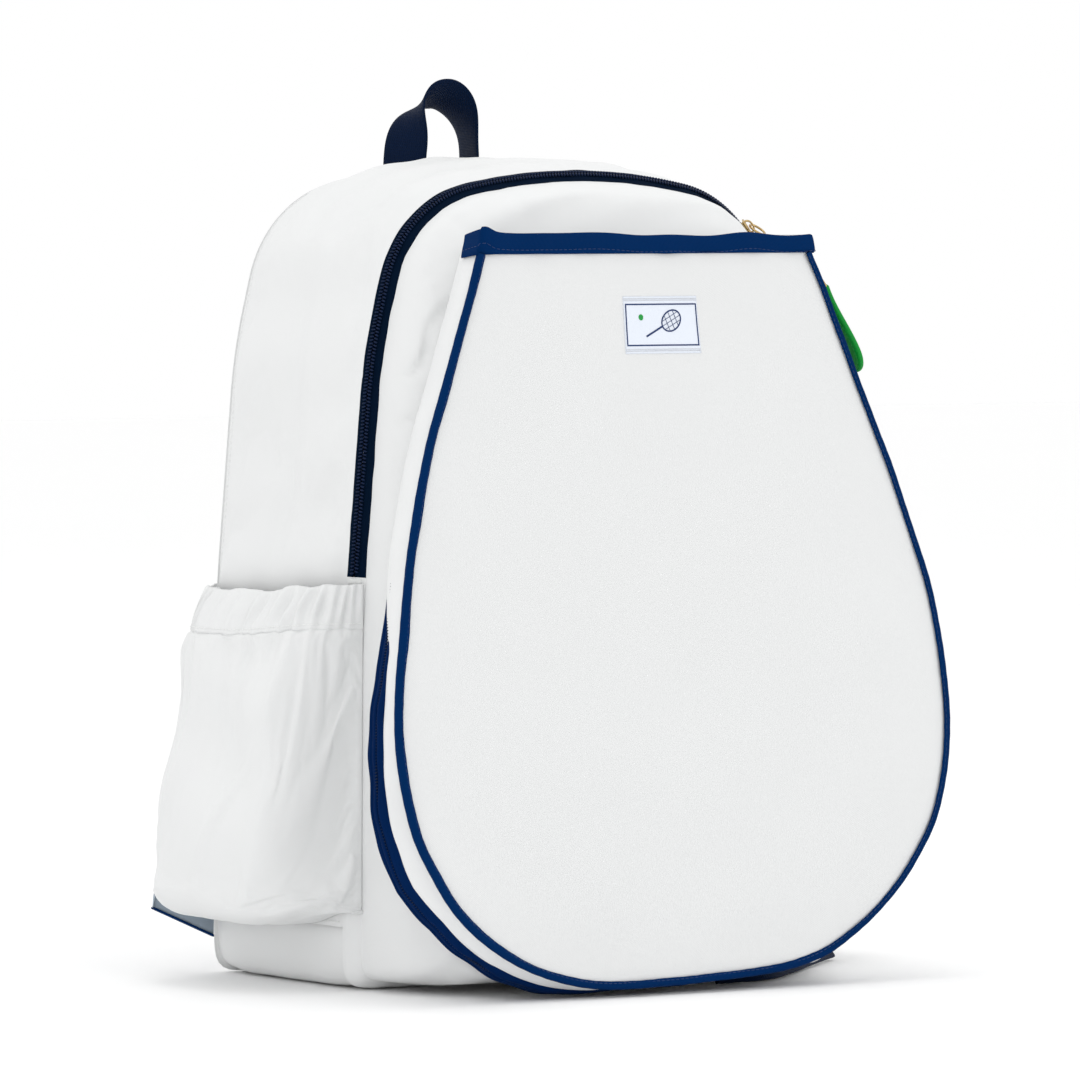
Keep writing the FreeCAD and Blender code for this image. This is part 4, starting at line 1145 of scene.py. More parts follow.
def label_motif():
    """A plain frame, and in it a racket, drawn by its hoop, handle and strings, and a ball."""
    w, h = 46.4 / 2, 19.6 / 2
    over = 0.3
    for key, a, b in (("top", (-w, h), (w, h)), ("bottom", (-w, -h), (w, -h)),
                      ("left", (-w, -h - over), (-w, h + over)), ("right", (w, -h - over), (w, h + over))):
        label_line("label_border_" + key, [a, b], 0.75, navy_thread)

    half_x, half_y = 6.6, 4.7
    tilt = math.radians(24)
    spin = np.array([[math.cos(tilt), math.sin(tilt)], [-math.sin(tilt), math.cos(tilt)]])
    head = np.array([6.2, 1.9])
    turns = np.linspace(0, 2 * PI, 40, endpoint=False)
    oval = np.stack([half_x * np.cos(turns), half_y * np.sin(turns)], 1)
    label_line("label_racket_head", oval @ spin + head, 0.8, navy_thread, closed=True)
    shaft = np.array([[-6.6, 0], [-9.0, 0], [-18.5, 0]])
    label_line("label_racket_handle", shaft @ spin + head, 1.0, navy_thread)
    for k in range(3):
        x = -3.1 + 3.1 * k
        reach = half_y * math.sqrt(1 - (x / half_x) ** 2)
        string = np.array([[x, -reach], [x, reach]])
        label_line("label_racket_string_%d" % k, string @ spin + head, 0.3, navy_thread)
        y = -2.1 + 2.1 * k
        reach = half_x * math.sqrt(1 - (y / half_y) ** 2)
        cross = np.array([[-reach, y], [reach, y]])
        label_line("label_racket_cross_%d" % k, cross @ spin + head, 0.3, navy_thread)
    turns = np.linspace(0, 2 * PI, 24)
    ball = np.concatenate([r * np.stack([np.cos(turns), np.sin(turns)], 1) for r in (1.15, 0.6, 0.15)])
    label_line("label_ball", ball + [-13.5, 3.6], 0.8, green_thread)


label_motif()


def loom_edges():
    """Cut loom ends above and below the label, in short grey threads."""
    half_w, half_h = LABEL_SIZE[0] / 2, LABEL_SIZE[1] / 2
    places = [(x + LABEL_AT[0], sign * up + LABEL_AT[1]) for sign in (1, -1)
              for x in np.arange(-half_w + 0.5, half_w - 0.4, 0.55) for up in (half_h - 1.2, half_h - 2.0)]
    X, U = np.array(places).T
    up = np.tile(unit(SLEEVE_OUT), (len(X), 1))
    along = np.tile(unit(leaning(0, 1.0, 0) - leaning(0, 0, 0)), (len(X), 1))
    bead = capsule(0.7, 0.3, 0.2, rings=4, sides=5)
    place = leaning(X, U, label_out(X, U) + 0.4)
    o = instances("label_loom_edge", bead, place, along, np.cross(up, along), up, grey_thread)
    shown(o, "sleeve_cover")


loom_edges()


# ---- side pockets -----------------------------------------------------------

POCKET_Z = [32.0, 36.0, 46.0, 62.0, 90.0, 126.0, 172.0, 197.0]
POCKET_REACH = [24.0, 40.0, 56.0, 60.0, 57.0, 49.0, 33.0, 17.0]
POCKET_HALF = 61.0
POCKET_RADIUS = 52.0        # turns an angle round the pocket into a length along its cloth
GATHER_PITCH = 8.6
HEM_LOW, HEM_TOP = 175.0, 197.0


def pocket_point(a, z, reach, stand):
    """A point round the pocket at angle a, standing out by stand from its level's outline."""
    c, s = np.cos(a), np.abs(np.sin(a))
    power = 2 / 2.6
    x = ARCH[0][0] - z / ARCH[1][1] + 0.1 + reach * s ** power + stand * s ** 0.5
    y = (POCKET_HALF + 0.4 * stand) * np.sign(c) * np.abs(c) ** power
    front = np.clip(-y / POCKET_HALF, 0, None)
    y = y - (BEVEL[1] + 2.0) * front
    x = x - BEVEL[0] * smooth(-HALF_DEPTH, -HALF_DEPTH - BEVEL[1], y)
    z = (z + 8.0 * smooth(0.45, 1.0, front) * (1 - smooth(SEAM_HEIGHT, 80.0, z))
         + (4.0 + 5.5 * smooth(-0.2, 1.0, -c)) * smooth(110.0, HEM_LOW, z))
    return np.stack([x, y + 0 * x, z + 0 * x], -1)


def gather_warp(arc, seed):
    """How far the gathers wander from even steps."""
    return 2.2 * waves(seed + 1, arc, n=5, short=22, long=60)


def gathers(arc, z, seed):
    """Folds that start under the elastic and fade down the pocket."""
    below = np.clip(HEM_LOW - z, 0, None)
    warp = gather_warp(arc, seed)
    tight = np.sin((arc + warp) * 2 * PI / GATHER_PITCH)
    wide = np.sin((arc + warp * 1.6) * 2 * PI / 17.0 + 0.8)
    return np.exp(-below / 26.0) * (1.12 * tight * np.exp(-below / 12.0) + 2.6 * wide * (1 - np.exp(-below / 6.0)))


POCKET_TURN = PI * (0.5 - 0.5 * np.cos(np.linspace(0, PI, 150))) * 0.35 + np.linspace(0, PI, 150) * 0.65


def pocket(side, key, seed):
    """A bellied pocket with soft folds, a crease towards its front corner and gathers under its hem."""
    a = POCKET_TURN
    z = np.concatenate([np.linspace(SEAM_HEIGHT, 46, 14)[:-1], np.linspace(46, 172, 62), [173.6, 174.6, HEM_LOW]])
    A, Z = np.meshgrid(a, z, indexing="ij")
    arc = A * POCKET_RADIUS
    body = smooth(34, 60, Z) * (1 - smooth(165, HEM_LOW, Z)) * np.sin(A) ** 0.6
    big = 2.5 * body * waves(seed + 5, arc, Z, n=9, short=42, long=120)
    slant = 2.4 * body * np.sin((arc * 0.9 + Z * 0.55) / 9.5 + seed) * bump(Z, 128, 34) * bump(A, 1.9, 0.75)
    crease = POCKET_RADIUS * (2.0 + 0.0058 * (Z - 115.0))
    ridges = 2.6 * np.exp(-((arc - crease) / 3.2) ** 2) + 2.2 * np.exp(-((arc - crease - 17.0) / 11.0) ** 2)
    pleat = -2.2 * bump(A, 2.72, 0.13) * bump(Z + 9 * (A - 2.72), 49, 6)
    stand = big + slant + body * bump(Z, 94, 27) * ridges + pleat + gathers(arc, Z, seed) * np.sin(A) ** 0.4
    stand -= 2.4 * smooth(HEM_LOW - 0.9, HEM_LOW, Z) + 0.8 * np.exp(-((Z - SEAM_HEIGHT) / 2.4) ** 2)
    wall = pocket_point(A, Z, curve(POCKET_Z, POCKET_REACH, Z), stand)
    under = [pocket_point(a, np.full_like(a, SEAM_HEIGHT + 0.4 * (1 - f)), POCKET_REACH[0] * f + 0.4, 0 * a)
             for f in np.linspace(0.0, 1.0, 7)[:-1]]
    P = np.concatenate([np.stack(under, 1), wall], 1) * [side, 1, 1]
    o = grid("side_pocket_%s_nylon" % key, P, nylon, flip=side > 0)
    pins = np.zeros(P.shape[:2])
    pins[:2] = pins[-2:] = 1.0
    pins[:, :8] = pins[:, -2:] = 1.0
    settle_later(o, pins, cap=4.0, grow=0.03, pressure=0.45, gravity=0.1, bend=0.9)
    return o


def pocket_hem(side, key, seed):
    """A doubled band round the elastic, gathered, open on its inside, with a row of stitches."""
    a = POCKET_TURN
    up = np.concatenate([[HEM_LOW - 0.8, HEM_LOW - 0.3, HEM_LOW + 0.8],
                         np.linspace(HEM_LOW + 2.2, HEM_TOP - 1.2, 11),
                         [HEM_TOP - 0.4, HEM_TOP, HEM_TOP - 0.4],
                         np.linspace(HEM_TOP - 1.4, HEM_LOW + 0.5, 10)])
    inner = np.concatenate([[-2.4, -0.9, -0.2], np.zeros(11), [-0.4, -1.3, -2.2], np.full(10, -2.6)])
    A, U = np.meshgrid(a, up, indexing="ij")
    arc = A * POCKET_RADIUS
    swell = np.sin(PI * np.clip((U - HEM_LOW) / (HEM_TOP - HEM_LOW), 0, 1))
    ripple = (1.6 * np.sin((arc + gather_warp(arc, seed)) * 2 * PI / GATHER_PITCH + 0.05 * (U - HEM_LOW))
              + 0.9 * waves(seed + 7, arc, U * 0.35, n=8, short=9, long=26))
    stand = (0.7 + 0.8 * swell) * ripple + 0.4 * swell + inner
    reach = curve(POCKET_Z, POCKET_REACH, np.clip(U, SEAM_HEIGHT, HEM_TOP))
    P = pocket_point(A, U, reach, stand * np.sin(A) ** 0.3)
    P[..., 2] += 0.9 * waves(seed + 9, arc, n=6, short=14, long=60) * smooth(188, HEM_TOP, U)
    P[..., 0] *= side
    hem = grid("pocket_hem_%s_nylon" % key, P, nylon, flip=side > 0)
    shown(hem, "bag", "pocket_elastic_" + key, slot="white_nylon")
    outward = unit(np.stack([side * np.sin(a), np.cos(a), 0 * a], -1))
    row = P[:, 3] + outward * 0.15
    shown(stitches("pocket_hem_thread_" + key, row, outward, white_thread, pitch=2.6), "bag")


pockets = {}
for side, key, seed in ((1, "right", 110), (-1, "left", 140)):
    pockets[key] = pocket(side, key, seed)
    pocket_hem(side, key, seed)


# ---- lining and stiffener ---------------------------------------------------

def lining():
    """The compartment's lining: round the gusset, then over the back."""
    s = np.linspace(0, arch.length, 300, endpoint=False)
    rows = []
    for y, inset in [(-56.5, 6.3), (-30, 5.6), (0, 5.2), (30, 5.6), (58, 6.3), (60.5, 6.8), (61.2, 8.5)]:
        x, z = arch_at(s, inset + 0.3 * waves(201, s, n=6, short=30, long=90))
        rows.append(np.stack([x, np.full_like(x, y), z], -1))
    for f in np.linspace(0.06, 1.0, 16):
        x, z = arch_at(s, 8.5)
        x, z = x * (1 - f), z + (np.clip(z, 100, 320) - z) * f
        rows.append(np.stack([x, 61.3 - 1.2 * math.sin(PI * f) + 0 * x, z], -1))
    P = squared(np.stack(rows, 1))
    o = clean(grid("compartment_lining_cloth", P, lining_cloth, close_u=True, flip=True))
    thicken(o, 0.4)
    return shown(o, "bag", "gusset_lining", "back_lining", slot="lining_cloth")


lining_sheet = lining()


def prism(outline, low, high, chamfer):
    """Points and faces of a plate with softened edges, from a convex outline about its middle."""
    outline = np.asarray(outline, float)
    n = len(outline)
    shrunk = outline * (1 - chamfer / np.maximum(np.linalg.norm(outline, axis=1, keepdims=True), 1e-9))
    rings = [(shrunk, low), (outline, low + chamfer * 0.8), (outline, high - chamfer * 0.8), (shrunk, high)]
    points = np.concatenate([np.c_[r, np.full(n, z)] for r, z in rings])
    faces = [[k * n + i, k * n + (i + 1) % n, (k + 1) * n + (i + 1) % n, (k + 1) * n + i]
             for k in range(3) for i in range(n)]
    faces += [list(range(n))[::-1], [3 * n + i for i in range(n)]]
    return points, faces


def tube(path, side, up, profile):
    """Points and faces of a closed profile carried along an open path, with its ends closed."""
    path, profile = np.asarray(path, float), np.asarray(profile, float)
    side, up = (np.broadcast_to(np.asarray(a, float), path.shape) for a in (side, up))
    P = path[:, None] + side[:, None] * profile[None, :, :1] + up[:, None] * profile[None, :, 1:]
    m, k = P.shape[:2]
    faces = [[i * k + j, i * k + (j + 1) % k, (i + 1) * k + (j + 1) % k, (i + 1) * k + j]
             for i in range(m - 1) for j in range(k)]
    faces += [list(range(k))[::-1], [(m - 1) * k + j for j in range(k)]]
    return P.reshape(-1, 3), faces


def joined(name, shapes, material, place=None):
    """One mesh from several (points, faces), moved onto an origin and axes."""
    points, faces = [], []
    for p, f in shapes:
        faces += [[v + sum(len(q) for q in points) for v in face] for face in f]
        points.append(np.asarray(p, float))
    P = np.concatenate(points)
    if place is not None:
        origin, axes = place
        P = origin + P @ np.stack(axes)
    return outward_normals(build(name, P, faces, material))


def smooth_by_angle(o, degrees):
    """Keeps edges sharper than an angle crisp."""
    limit = math.radians(degrees)
    b = bmesh.new()
    b.from_mesh(o.data)
    for e in b.edges:
        e.smooth = not (len(e.link_faces) == 2 and e.calc_face_angle(0) > limit)
    b.to_mesh(o.data)
    b.free()
    return o


board_outline = rounded_box(108.0, 54.0, 12.0, 6)
stiffener = joined("base_board", [prism(board_outline, 2.8, 4.3, 0.5)], board)
shown(smooth_by_angle(stiffener, 35), "bag", "base_stiffener", slot="stiffener")


# ---- sliders, rings and tag -------------------------------------------------

near_shoulder = (arch.points[:, 0] > 60) & (arch.points[:, 1] > 352) & (arch.points[:, 1] < 400)
arc_p, arc_n = arch.points[near_shoulder], arch.normals[near_shoulder]
SHOULDER = (arc_p - SHOULDER_RADIUS * arc_n)[np.argsort(np.abs(arc_p[:, 1] - 385))[:5]].mean(0)


def shoulder_place(degrees):
    """Origin and axes on the main zip, at an angle round the right shoulder."""
    angle = math.radians(degrees)
    a, b = BEVEL[0] / BEVEL_LENGTH, BEVEL[1] / BEVEL_LENGTH
    radial = np.array([math.cos(angle), 0, math.sin(angle)])
    along = np.array([-math.sin(angle), 0, math.cos(angle)])
    out = radial * b + np.array([0, -1.0, 0]) * a
    down = 4.6
    origin = np.array([SHOULDER[0], -HALF_DEPTH - down * b, SHOULDER[1]]) + radial * (SHOULDER_RADIUS - down * a)
    return origin, (along, np.cross(out, along), out)


def sleeve_place(up):
    """Origin and axes of the slider on the sleeve's straight right edge, at a height on the sleeve's plane."""
    (low_x, low_up), (high_x, high_up) = SLEEVE[1:]
    x = low_x + (high_x - low_x) * (up - low_up) / (high_up - low_up)
    along = unit(leaning(high_x, high_up, 0) - leaning(low_x, low_up, 0))
    out = np.cross(along, SLEEVE_OUT)
    out = out * np.sign(out[0])
    return leaning(x, up, 7.5) + out * 1.7, (along, np.cross(out, along), out)


def slider_shapes(coil_top, tape_bottom):
    """A zip slider on its own axes: shield-shaped plates, flanges, the divider and an arched bridge."""
    face, under = coil_top + 0.5, tape_bottom - 0.5
    half_shield = [(-4.5, -2.0), (-3.9, -2.7), (-0.5, -3.0), (2.6, -3.4), (3.9, -3.2), (4.5, -2.0)]
    shield = half_shield + [(x, -y) for x, y in half_shield[::-1]]
    divider = [(-3.8, -0.2), (3.9, -0.2), (3.9, 0.2), (-3.8, 0.2)]
    shapes = [prism(shield, face, face + 1.0, 0.35), prism(shield, under - 0.9, under, 0.3),
              prism(divider, under - 0.1, face + 0.1, 0.02)]
    angles = np.linspace(0, PI, 16)
    path = np.stack([-3.6 * np.cos(angles), 0 * angles, face + 0.7 + 3.0 * np.sin(angles) ** 0.7], 1)
    tangent = unit(np.gradient(path, axis=0))
    side = [0.0, 1.0, 0.0]
    shapes.append(tube(path, side, np.cross(tangent, side), rounded_box(0.75, 0.42, 0.28, 2)))
    return shapes


def hardware(name, coil_top, tape_bottom, place, body, node):
    o = joined(name, slider_shapes(coil_top, tape_bottom), brass, place)
    return shown(smooth_by_angle(o, 50), body, node, slot="gold_metal")


hardware("main_slider_upper_body", 1.5, -0.8, shoulder_place(39.0), "main_slider_upper", "main_slider_upper")
hardware("main_slider_lower_body", 1.5, -0.8, shoulder_place(29.8), "main_slider_lower", "main_slider_lower")
SLEEVE_SLIDER = sleeve_place(361.0)
hardware("sleeve_slider_body", 0.7, -1.3, SLEEVE_SLIDER, "sleeve_slider", "sleeve_slider")
for node in ("main_pull_upper", "main_pull_lower"):
    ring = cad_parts[node]
    ring.data.materials.clear()
    ring.data.materials.append(brass)
    for polygon in ring.data.polygons:
        polygon.use_smooth = True
        polygon.material_index = 0


def tag_ring():
    """An oval brass ring from the slider's bridge out to the tag's slot."""
    origin, axes = SLEEVE_SLIDER
    turn = np.linspace(0, 2 * PI, 40, endpoint=False)
    flat = np.stack([-6.9 + 7.5 * np.cos(turn), 3.0 * np.sin(turn)], 1)
    rise = np.interp(flat[:, 0], [-14.4, 0.6], [9.4, 3.4])
    world = origin + np.c_[flat, rise] @ np.stack(axes)
    tangent = unit(np.roll(world, -1, 0) - np.roll(world, 1, 0))
    side = unit(np.cross(tangent, axes[2]))
    angles = np.linspace(0, 2 * PI, 9, endpoint=False)
    wire = 0.62 * np.stack([np.cos(angles), np.sin(angles)], 1)
    o = sweep("tag_ring_brass", world, side, np.cross(side, tangent), wire, brass, ring=True)
    shown(o, "pull_tag", "tag_ring", slot="gold_metal")


TAG_START, TAG_LENGTH, TAG_HALF, TAG_THICK = -11.5, 49.0, 8.4, 3.0
TAG_ROUNDING = [(30.0, 1.5), (9.0, 1.5), (4.0, 1.52), (1.4, 1.46), (0.7, 1.3), (0.22, 0.95), (0.0, 0.35)]


def tag_spine(P):
    """The middle line that the tag's outline is drawn in towards."""
    P = P.copy()
    P[:, 0] = np.clip(P[:, 0], TAG_START - TAG_LENGTH + 9.5, TAG_START - 3.0)
    P[:, 1] = 0
    return P


def tag_bend(x):
    return 0.0004 * (x - TAG_START) ** 2


def tag():
    """A leather teardrop on the sleeve slider's ring, with rounded edges and a row of stitches on both faces."""
    f = (1 - np.cos(np.linspace(0, 1, 40) * PI)) / 2
    x = TAG_START - TAG_LENGTH * f
    half = 2.6 + (TAG_HALF - 2.6) * smooth(0.08, 0.78, f)
    half *= np.sqrt(1 - np.clip((f - 0.78) / 0.22, 0, 1) ** 2) * np.sqrt(np.clip(f / 0.025, 0, 1))
    outline = np.concatenate([np.stack([x, half], 1), np.stack([x, -half], 1)[::-1][1:-1]])
    spine = tag_spine(outline)
    reach = np.linalg.norm(outline - spine, axis=1, keepdims=True)
    rings = []
    for inset, z in TAG_ROUNDING + [(inset, -z) for inset, z in TAG_ROUNDING[::-1]]:
        p = spine + (outline - spine) * np.clip(1 - inset / np.maximum(reach, 1e-6), 0.0, 1)
        rings.append(np.c_[p, z + tag_bend(p[:, 0])])
    P = np.stack(rings, 1)
    origin, axes = SLEEVE_SLIDER
    tilt = math.radians(-0.5)
    turn = np.array([[math.cos(tilt), 0, -math.sin(tilt)], [0, 1, 0], [math.sin(tilt), 0, math.cos(tilt)]])
    turn = turn @ np.stack(axes)
    origin = origin + 9.3 * axes[2]
    o = clean(grid("pull_tag_leather", origin + P @ turn, green_leather, close_u=True), 0.00001)
    shown(outward_normals(o), "pull_tag", "pull_tag", slot="green_tag")
    for key, sign in (("front", 1.0), ("back", -1.0)):
        row = P[3:-3, 3].copy()
        row[:, 2] = sign * TAG_THICK / 2 + tag_bend(row[:, 0])
        row = row + unit(tag_spine(row) - row) * 0.9
        shown(stitches("pull_tag_thread_" + key, origin + row @ turn, [0, 0, sign] @ turn, green_thread, pitch=2.4,
                       length=1.7, size=0.4), "pull_tag")


tag_ring()
tag()


# ---- grab handle ------------------------------------------------------------

def ribbon(half_w, half_t, columns):
    """Profile of a strip of webbing with thinned edges: its outer face, then its inner one."""
    w = np.linspace(-1, 1, columns)
    face = half_t * (1 - 0.5 * np.abs(w) ** 8)
    return np.concatenate([np.c_[half_w * w, face], np.c_[half_w * w, -face][::-1]])


def strip_uv(s, v):
    """UV map of a closed strip: along it, and round its profile."""
    return np.stack(np.meshgrid(s, np.append(v, v[0]), indexing="ij"), -1)


def handle():
    """A loop of webbing whose left leg is turned, so that it folds over at its top."""
    f = np.linspace(-0.03, 1.03, 90)
    angle = PI * (1 - f)
    height = np.clip(np.sin(angle), -0.2, 1)
    wide = np.cos(angle)
    x = 20.0 * np.where(wide < 0, -np.abs(wide) ** 0.85, wide) - 3.0
    left, top, right = (unit(v) for v in ((0.5, -0.87, 0.0), (0.0, -0.8, 0.6), (-0.17, -0.98, 0.0)))
    h = smooth(0.25, 1.0, height)[:, None]
    side_weight = smooth(-3, 3, x)[:, None]
    leg = left * (1 - side_weight) + right * side_weight
    centre = np.stack([x, HALF_DEPTH - 2.0 * height, 417.0 + 38.0 * height], 1)
    tangent = unit(np.gradient(centre, axis=0))
    normal = unit(np.cross(tangent, unit(leg * (1 - h) + top * h)))
    across = unit(np.cross(normal, tangent))
    half_w = 12.5
    profile = ribbon(half_w, 0.8, 15)
    cup = 0.9 * (profile[:, 0] / half_w) ** 2
    raised = profile[:, 1] - cup * np.sin(PI * np.clip(f, 0, 1))[:, None]
    P = centre[:, None] + across[:, None] * profile[:, :1] + normal[:, None] * raised[..., None]
    uv = strip_uv(lengths(centre), profile[:, 0])
    o = grid("grab_handle_webbing", P, webbing_navy, close_v=True, uv=uv, caps=True)
    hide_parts("grab_handle")
    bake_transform(o)


handle()


# ---- back: yoke, straps, anchors --------------------------------------------

PAD = np.array([(38, 78.5, 394, 56), (42, 89, 382, 57), (49, 97, 356, 58), (58, 100, 305, 58), (66, 99, 250, 56),
                (78, 96, 200, 50), (92, 91, 160, 36)], float)
WEB = np.array([(160, 69.5, 37), (157, 71.5, 47), (148, 77, 76), (127, 83, 112), (101.5, 87.3, 139.5)], float)
PAD_END = PAD[-1, :3]
PAD_AWAY = unit(PAD_END - PAD[-2, :3])
LOCK_AT = PAD_END + PAD_AWAY * 9.4
WEB_SECTION = rounded_box(12.5, 0.8, 0.5, 2)


def through(points, n):
    """A smooth curve through points, by chord length."""
    points = np.asarray(points, float)
    k = lengths(points[:, :3])
    x = np.linspace(0, k[-1], n)
    return np.stack([curve(k, points[:, c], x) for c in range(points.shape[1])], -1)


def strap_axes(centre):
    """Directions across a strap, level with the back, and out of its face."""
    tangent = unit(np.gradient(centre, axis=0))
    across = unit(np.stack([-tangent[:, 2], 0 * tangent[:, 0], tangent[:, 0]], -1))
    return across, np.cross(across, tangent)


def on_side(side, *arrays):
    """Points or directions as they are on the right, or mirrored for the left."""
    return [np.asarray(a, float) * [side, 1, 1] for a in arrays]


def pad_line():
    """The pad's middle line, half widths, fullness near its lower end, and axes."""
    line = through(PAD, 150)
    centre = line[:, :3]
    s = lengths(centre)
    end = np.sqrt(np.clip(1 - np.clip((s - (s[-1] - 16)) / 17.0, 0, 1) ** 2.5, 0.05, 1))
    return centre, line[:, 3] / 2 * (0.55 + 0.45 * end) - 1.0, end, *strap_axes(centre)


def strap_pad(side, key):
    """A crowned pad, quilted on the face that lies on the back."""
    centre, half, end, across, normal = pad_line()
    s = lengths(centre)
    quilt = 0.55 * np.cos(2 * PI * s / 34.0)
    shares = np.linspace(-1, 1, 25)
    outer, inner = [], []
    for w in shares:
        crown = max(1 - abs(w) ** 3.2, 0.0) ** 0.7
        row = centre + across * (half * w)[:, None]
        rise = 2.0 + 3.6 * crown * end + 0.25 * waves(301, s, s * 0 + w * 20, n=6, short=20, long=60)
        outer.append(row + normal * rise[:, None])
        inner.append(row - normal * (2.0 + (3.4 + quilt) * crown * end)[:, None])
    P = np.stack(outer + inner[::-1], 1) * [side, 1, 1]
    uv = strip_uv(s, 28 * np.concatenate([shares, shares[::-1]]))
    pad = grid("strap_pad_%s_padded" % key, P, nylon, close_v=True, uv=uv, caps=True, flip=side > 0)
    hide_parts("strap_root_" + key, "strap_pad_cover_" + key, "strap_pad_foam_" + key)
    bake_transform(pad)


def strap_binding(side, key):
    """Grosgrain round the pad's edge: down one side, round its end, up the other."""
    centre, half, _, across, normal = pad_line()
    reach = across * half[:, None]
    rail = np.concatenate([centre + reach, (centre - reach)[::-1]])
    outward = np.concatenate([across, -across[::-1]])
    upward = np.concatenate([normal, normal[::-1]])
    upper = [(-4.6, 3.2), (-2.6, 3.3), (-0.3, 2.9), (0.75, 1.6), (0.9, 0.0)]
    section = upper + [(a, -b) for a, b in upper[-2::-1]]
    trim = sweep("strap_binding_" + key, *on_side(side, rail, outward, upward), section, binding_navy, close=False,
                 flip=side > 0)
    thicken(trim, 0.7, 1.0)
    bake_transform(trim)


def lower_webbing(side, key):
    """Webbing from the anchor's wing up through the ladder lock."""
    through_lock = [LOCK_AT + PAD_AWAY * 6.0 + [0, 1.2, 0], LOCK_AT + [0, 2.6, 0],
                    LOCK_AT - PAD_AWAY * 3.0 + [0, 1.6, 0]]
    line = through(np.concatenate([WEB, through_lock]), 90)
    low = sweep("lower_webbing_%s_strip" % key, *on_side(side, line, *strap_axes(line)), WEB_SECTION, webbing_navy,
                flip=side < 0)
    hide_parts("lower_webbing_" + key)
    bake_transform(low)


def lock_holder(side, key):
    """The loop that holds the ladder lock on the pad's end."""
    route = [place + PAD_AWAY * down + [0, out, 0] for place, down, out in (
        (PAD_END, -26, 5.9), (PAD_END, -8, 4.6), (LOCK_AT, -4.6, 2.4), (LOCK_AT, -2.6, 0), (LOCK_AT, -4.8, -2.4),
        (PAD_END, -7, -4.6), (PAD_END, -16, -5.6))]
    line = through(route, 60)
    across = np.tile(unit([-PAD_AWAY[2], 0, PAD_AWAY[0]]), (len(line), 1))
    normal = unit(np.cross(across, unit(np.gradient(line, axis=0))))
    holder = sweep("lock_holder_" + key, *on_side(side, line, across, normal), WEB_SECTION, webbing_navy,
                   flip=side > 0)
    shown(holder, "strap_" + key, slot="navy_webbing")


def ladder_lock(side, key):
    """A rounded frame with two slots and a raised lip."""
    across = unit([-PAD_AWAY[2], 0, PAD_AWAY[0]])
    shapes = []
    for y, half, thick in ((-7.5, 1.5, 1.9), (0.0, 2.0, 1.7), (7.5, 1.5, 2.06)):
        bar = [(x, y, 0) for x in np.linspace(-16, 16, 12)]
        shapes.append(tube(bar, [0, 1, 0], [0, 0, 1], rounded_box(half, thick, 0.9)))
    for x in (-15.3, 15.3):
        bar = [(x, y, 0) for y in np.linspace(-9, 9, 10)]
        shapes.append(tube(bar, [1, 0, 0], [0, 0, -1], rounded_box(1.7, 2.1, 1.0)))
    axes = on_side(side, across, PAD_AWAY, np.cross(across, PAD_AWAY))
    lock = joined("ladder_lock_%s_frame" % key, shapes, buckle, (LOCK_AT * [side, 1, 1], axes))
    shown(smooth_by_angle(lock, 60), "strap_" + key, "ladder_lock_" + key, slot="buckle_plastic")


def strap_anchor(side, key):
    """A wing of folded cloth in the back seam, its lower edge bound in navy."""
    corners = np.array([(137.5, 18.5), (174.0, 34.5), (171.0, 52.5), (137.5, 68.0)])
    f, g = np.linspace(0, 1, 18), np.linspace(0, 1, 14)
    F, G = np.meshgrid(f, g, indexing="ij")
    low_edge = corners[0] + np.outer(f, corners[1] - corners[0])
    high_edge = corners[3] + np.outer(f, corners[2] - corners[3])
    XZ = low_edge[:, None] * (1 - g)[None, :, None] + high_edge[:, None] * g[None, :, None]
    x, z = XZ[..., 0], XZ[..., 1]
    swell = 0.4 + 0.7 * (np.sin(PI * G) * 1.3 * (1 - 0.4 * F) + 0.2 * waves(330, x, z, short=14, long=40))
    front_face = np.stack([x * side, 67.9 - swell, z], -1)
    rear_face = np.stack([x * side, 68.1 + swell, z], -1)
    wing = np.concatenate([front_face, rear_face[:, ::-1]], 1)
    o = grid("strap_anchor_%s_cloth" % key, wing, anchor_cloth, close_v=True, caps=True, flip=side < 0)
    shown(o, "bag", "strap_anchor_" + key, slot="anchor_cloth")
    line = np.stack([low_edge[:, 0] * side, np.full(18, 68.0), low_edge[:, 1]], 1)
    depth = np.tile([0.0, 1.0, 0.0], (18, 1))
    trim = sweep("anchor_binding_" + key, line, depth, np.cross(unit(np.gradient(line, axis=0)), depth),
                 rounded_box(1.5, 0.6, 0.5), binding_navy, flip=True)
    shown(trim, "bag", slot="navy_binding")


for side, key in ((1, "right"), (-1, "left")):
    for part in (strap_pad, strap_binding, lower_webbing, lock_holder, ladder_lock, strap_anchor):
        part(side, key)


def yoke():
    """The patch that both straps are sewn to, with a turned edge and two rows of stitching."""
    half, low, high = 74.0, 372.0, 402.0
    X, Z = np.meshgrid(np.linspace(-half, half, 90), np.linspace(low, high, 24), indexing="ij")
    edge = np.minimum(half - np.abs(X), np.minimum(Z - low, high - Z))
    Y = 72.2 + 1.3 * (1 - np.exp(-edge / 2.0)) + 0.3 * waves(401, X, Z, short=16, long=50) * smooth(0, 8, edge)
    o = grid("strap_yoke_patch", np.stack([X, Y, Z], -1), nylon, uv=np.stack([X, Z], -1), flip=True)
    shown(thicken(o, 1.0), "bag", "strap_yoke", slot="white_nylon")
    for inset in (2.2, 5.0):
        x, z0, z1 = half - inset, low + inset, high - inset
        ring = [(-x, z0), (x, z0), (x, z1), (-x, z1), (-x, z0)]
        line = np.concatenate([np.linspace(a, b, 60)[:-1] for a, b in zip(ring, ring[1:])])
        P = np.stack([line[:, 0], np.full(len(line), 73.55), line[:, 1]], 1)
        shown(stitches("yoke_thread_%d" % inset, P, [0, 1.0, 0], white_thread), "bag")


yoke()


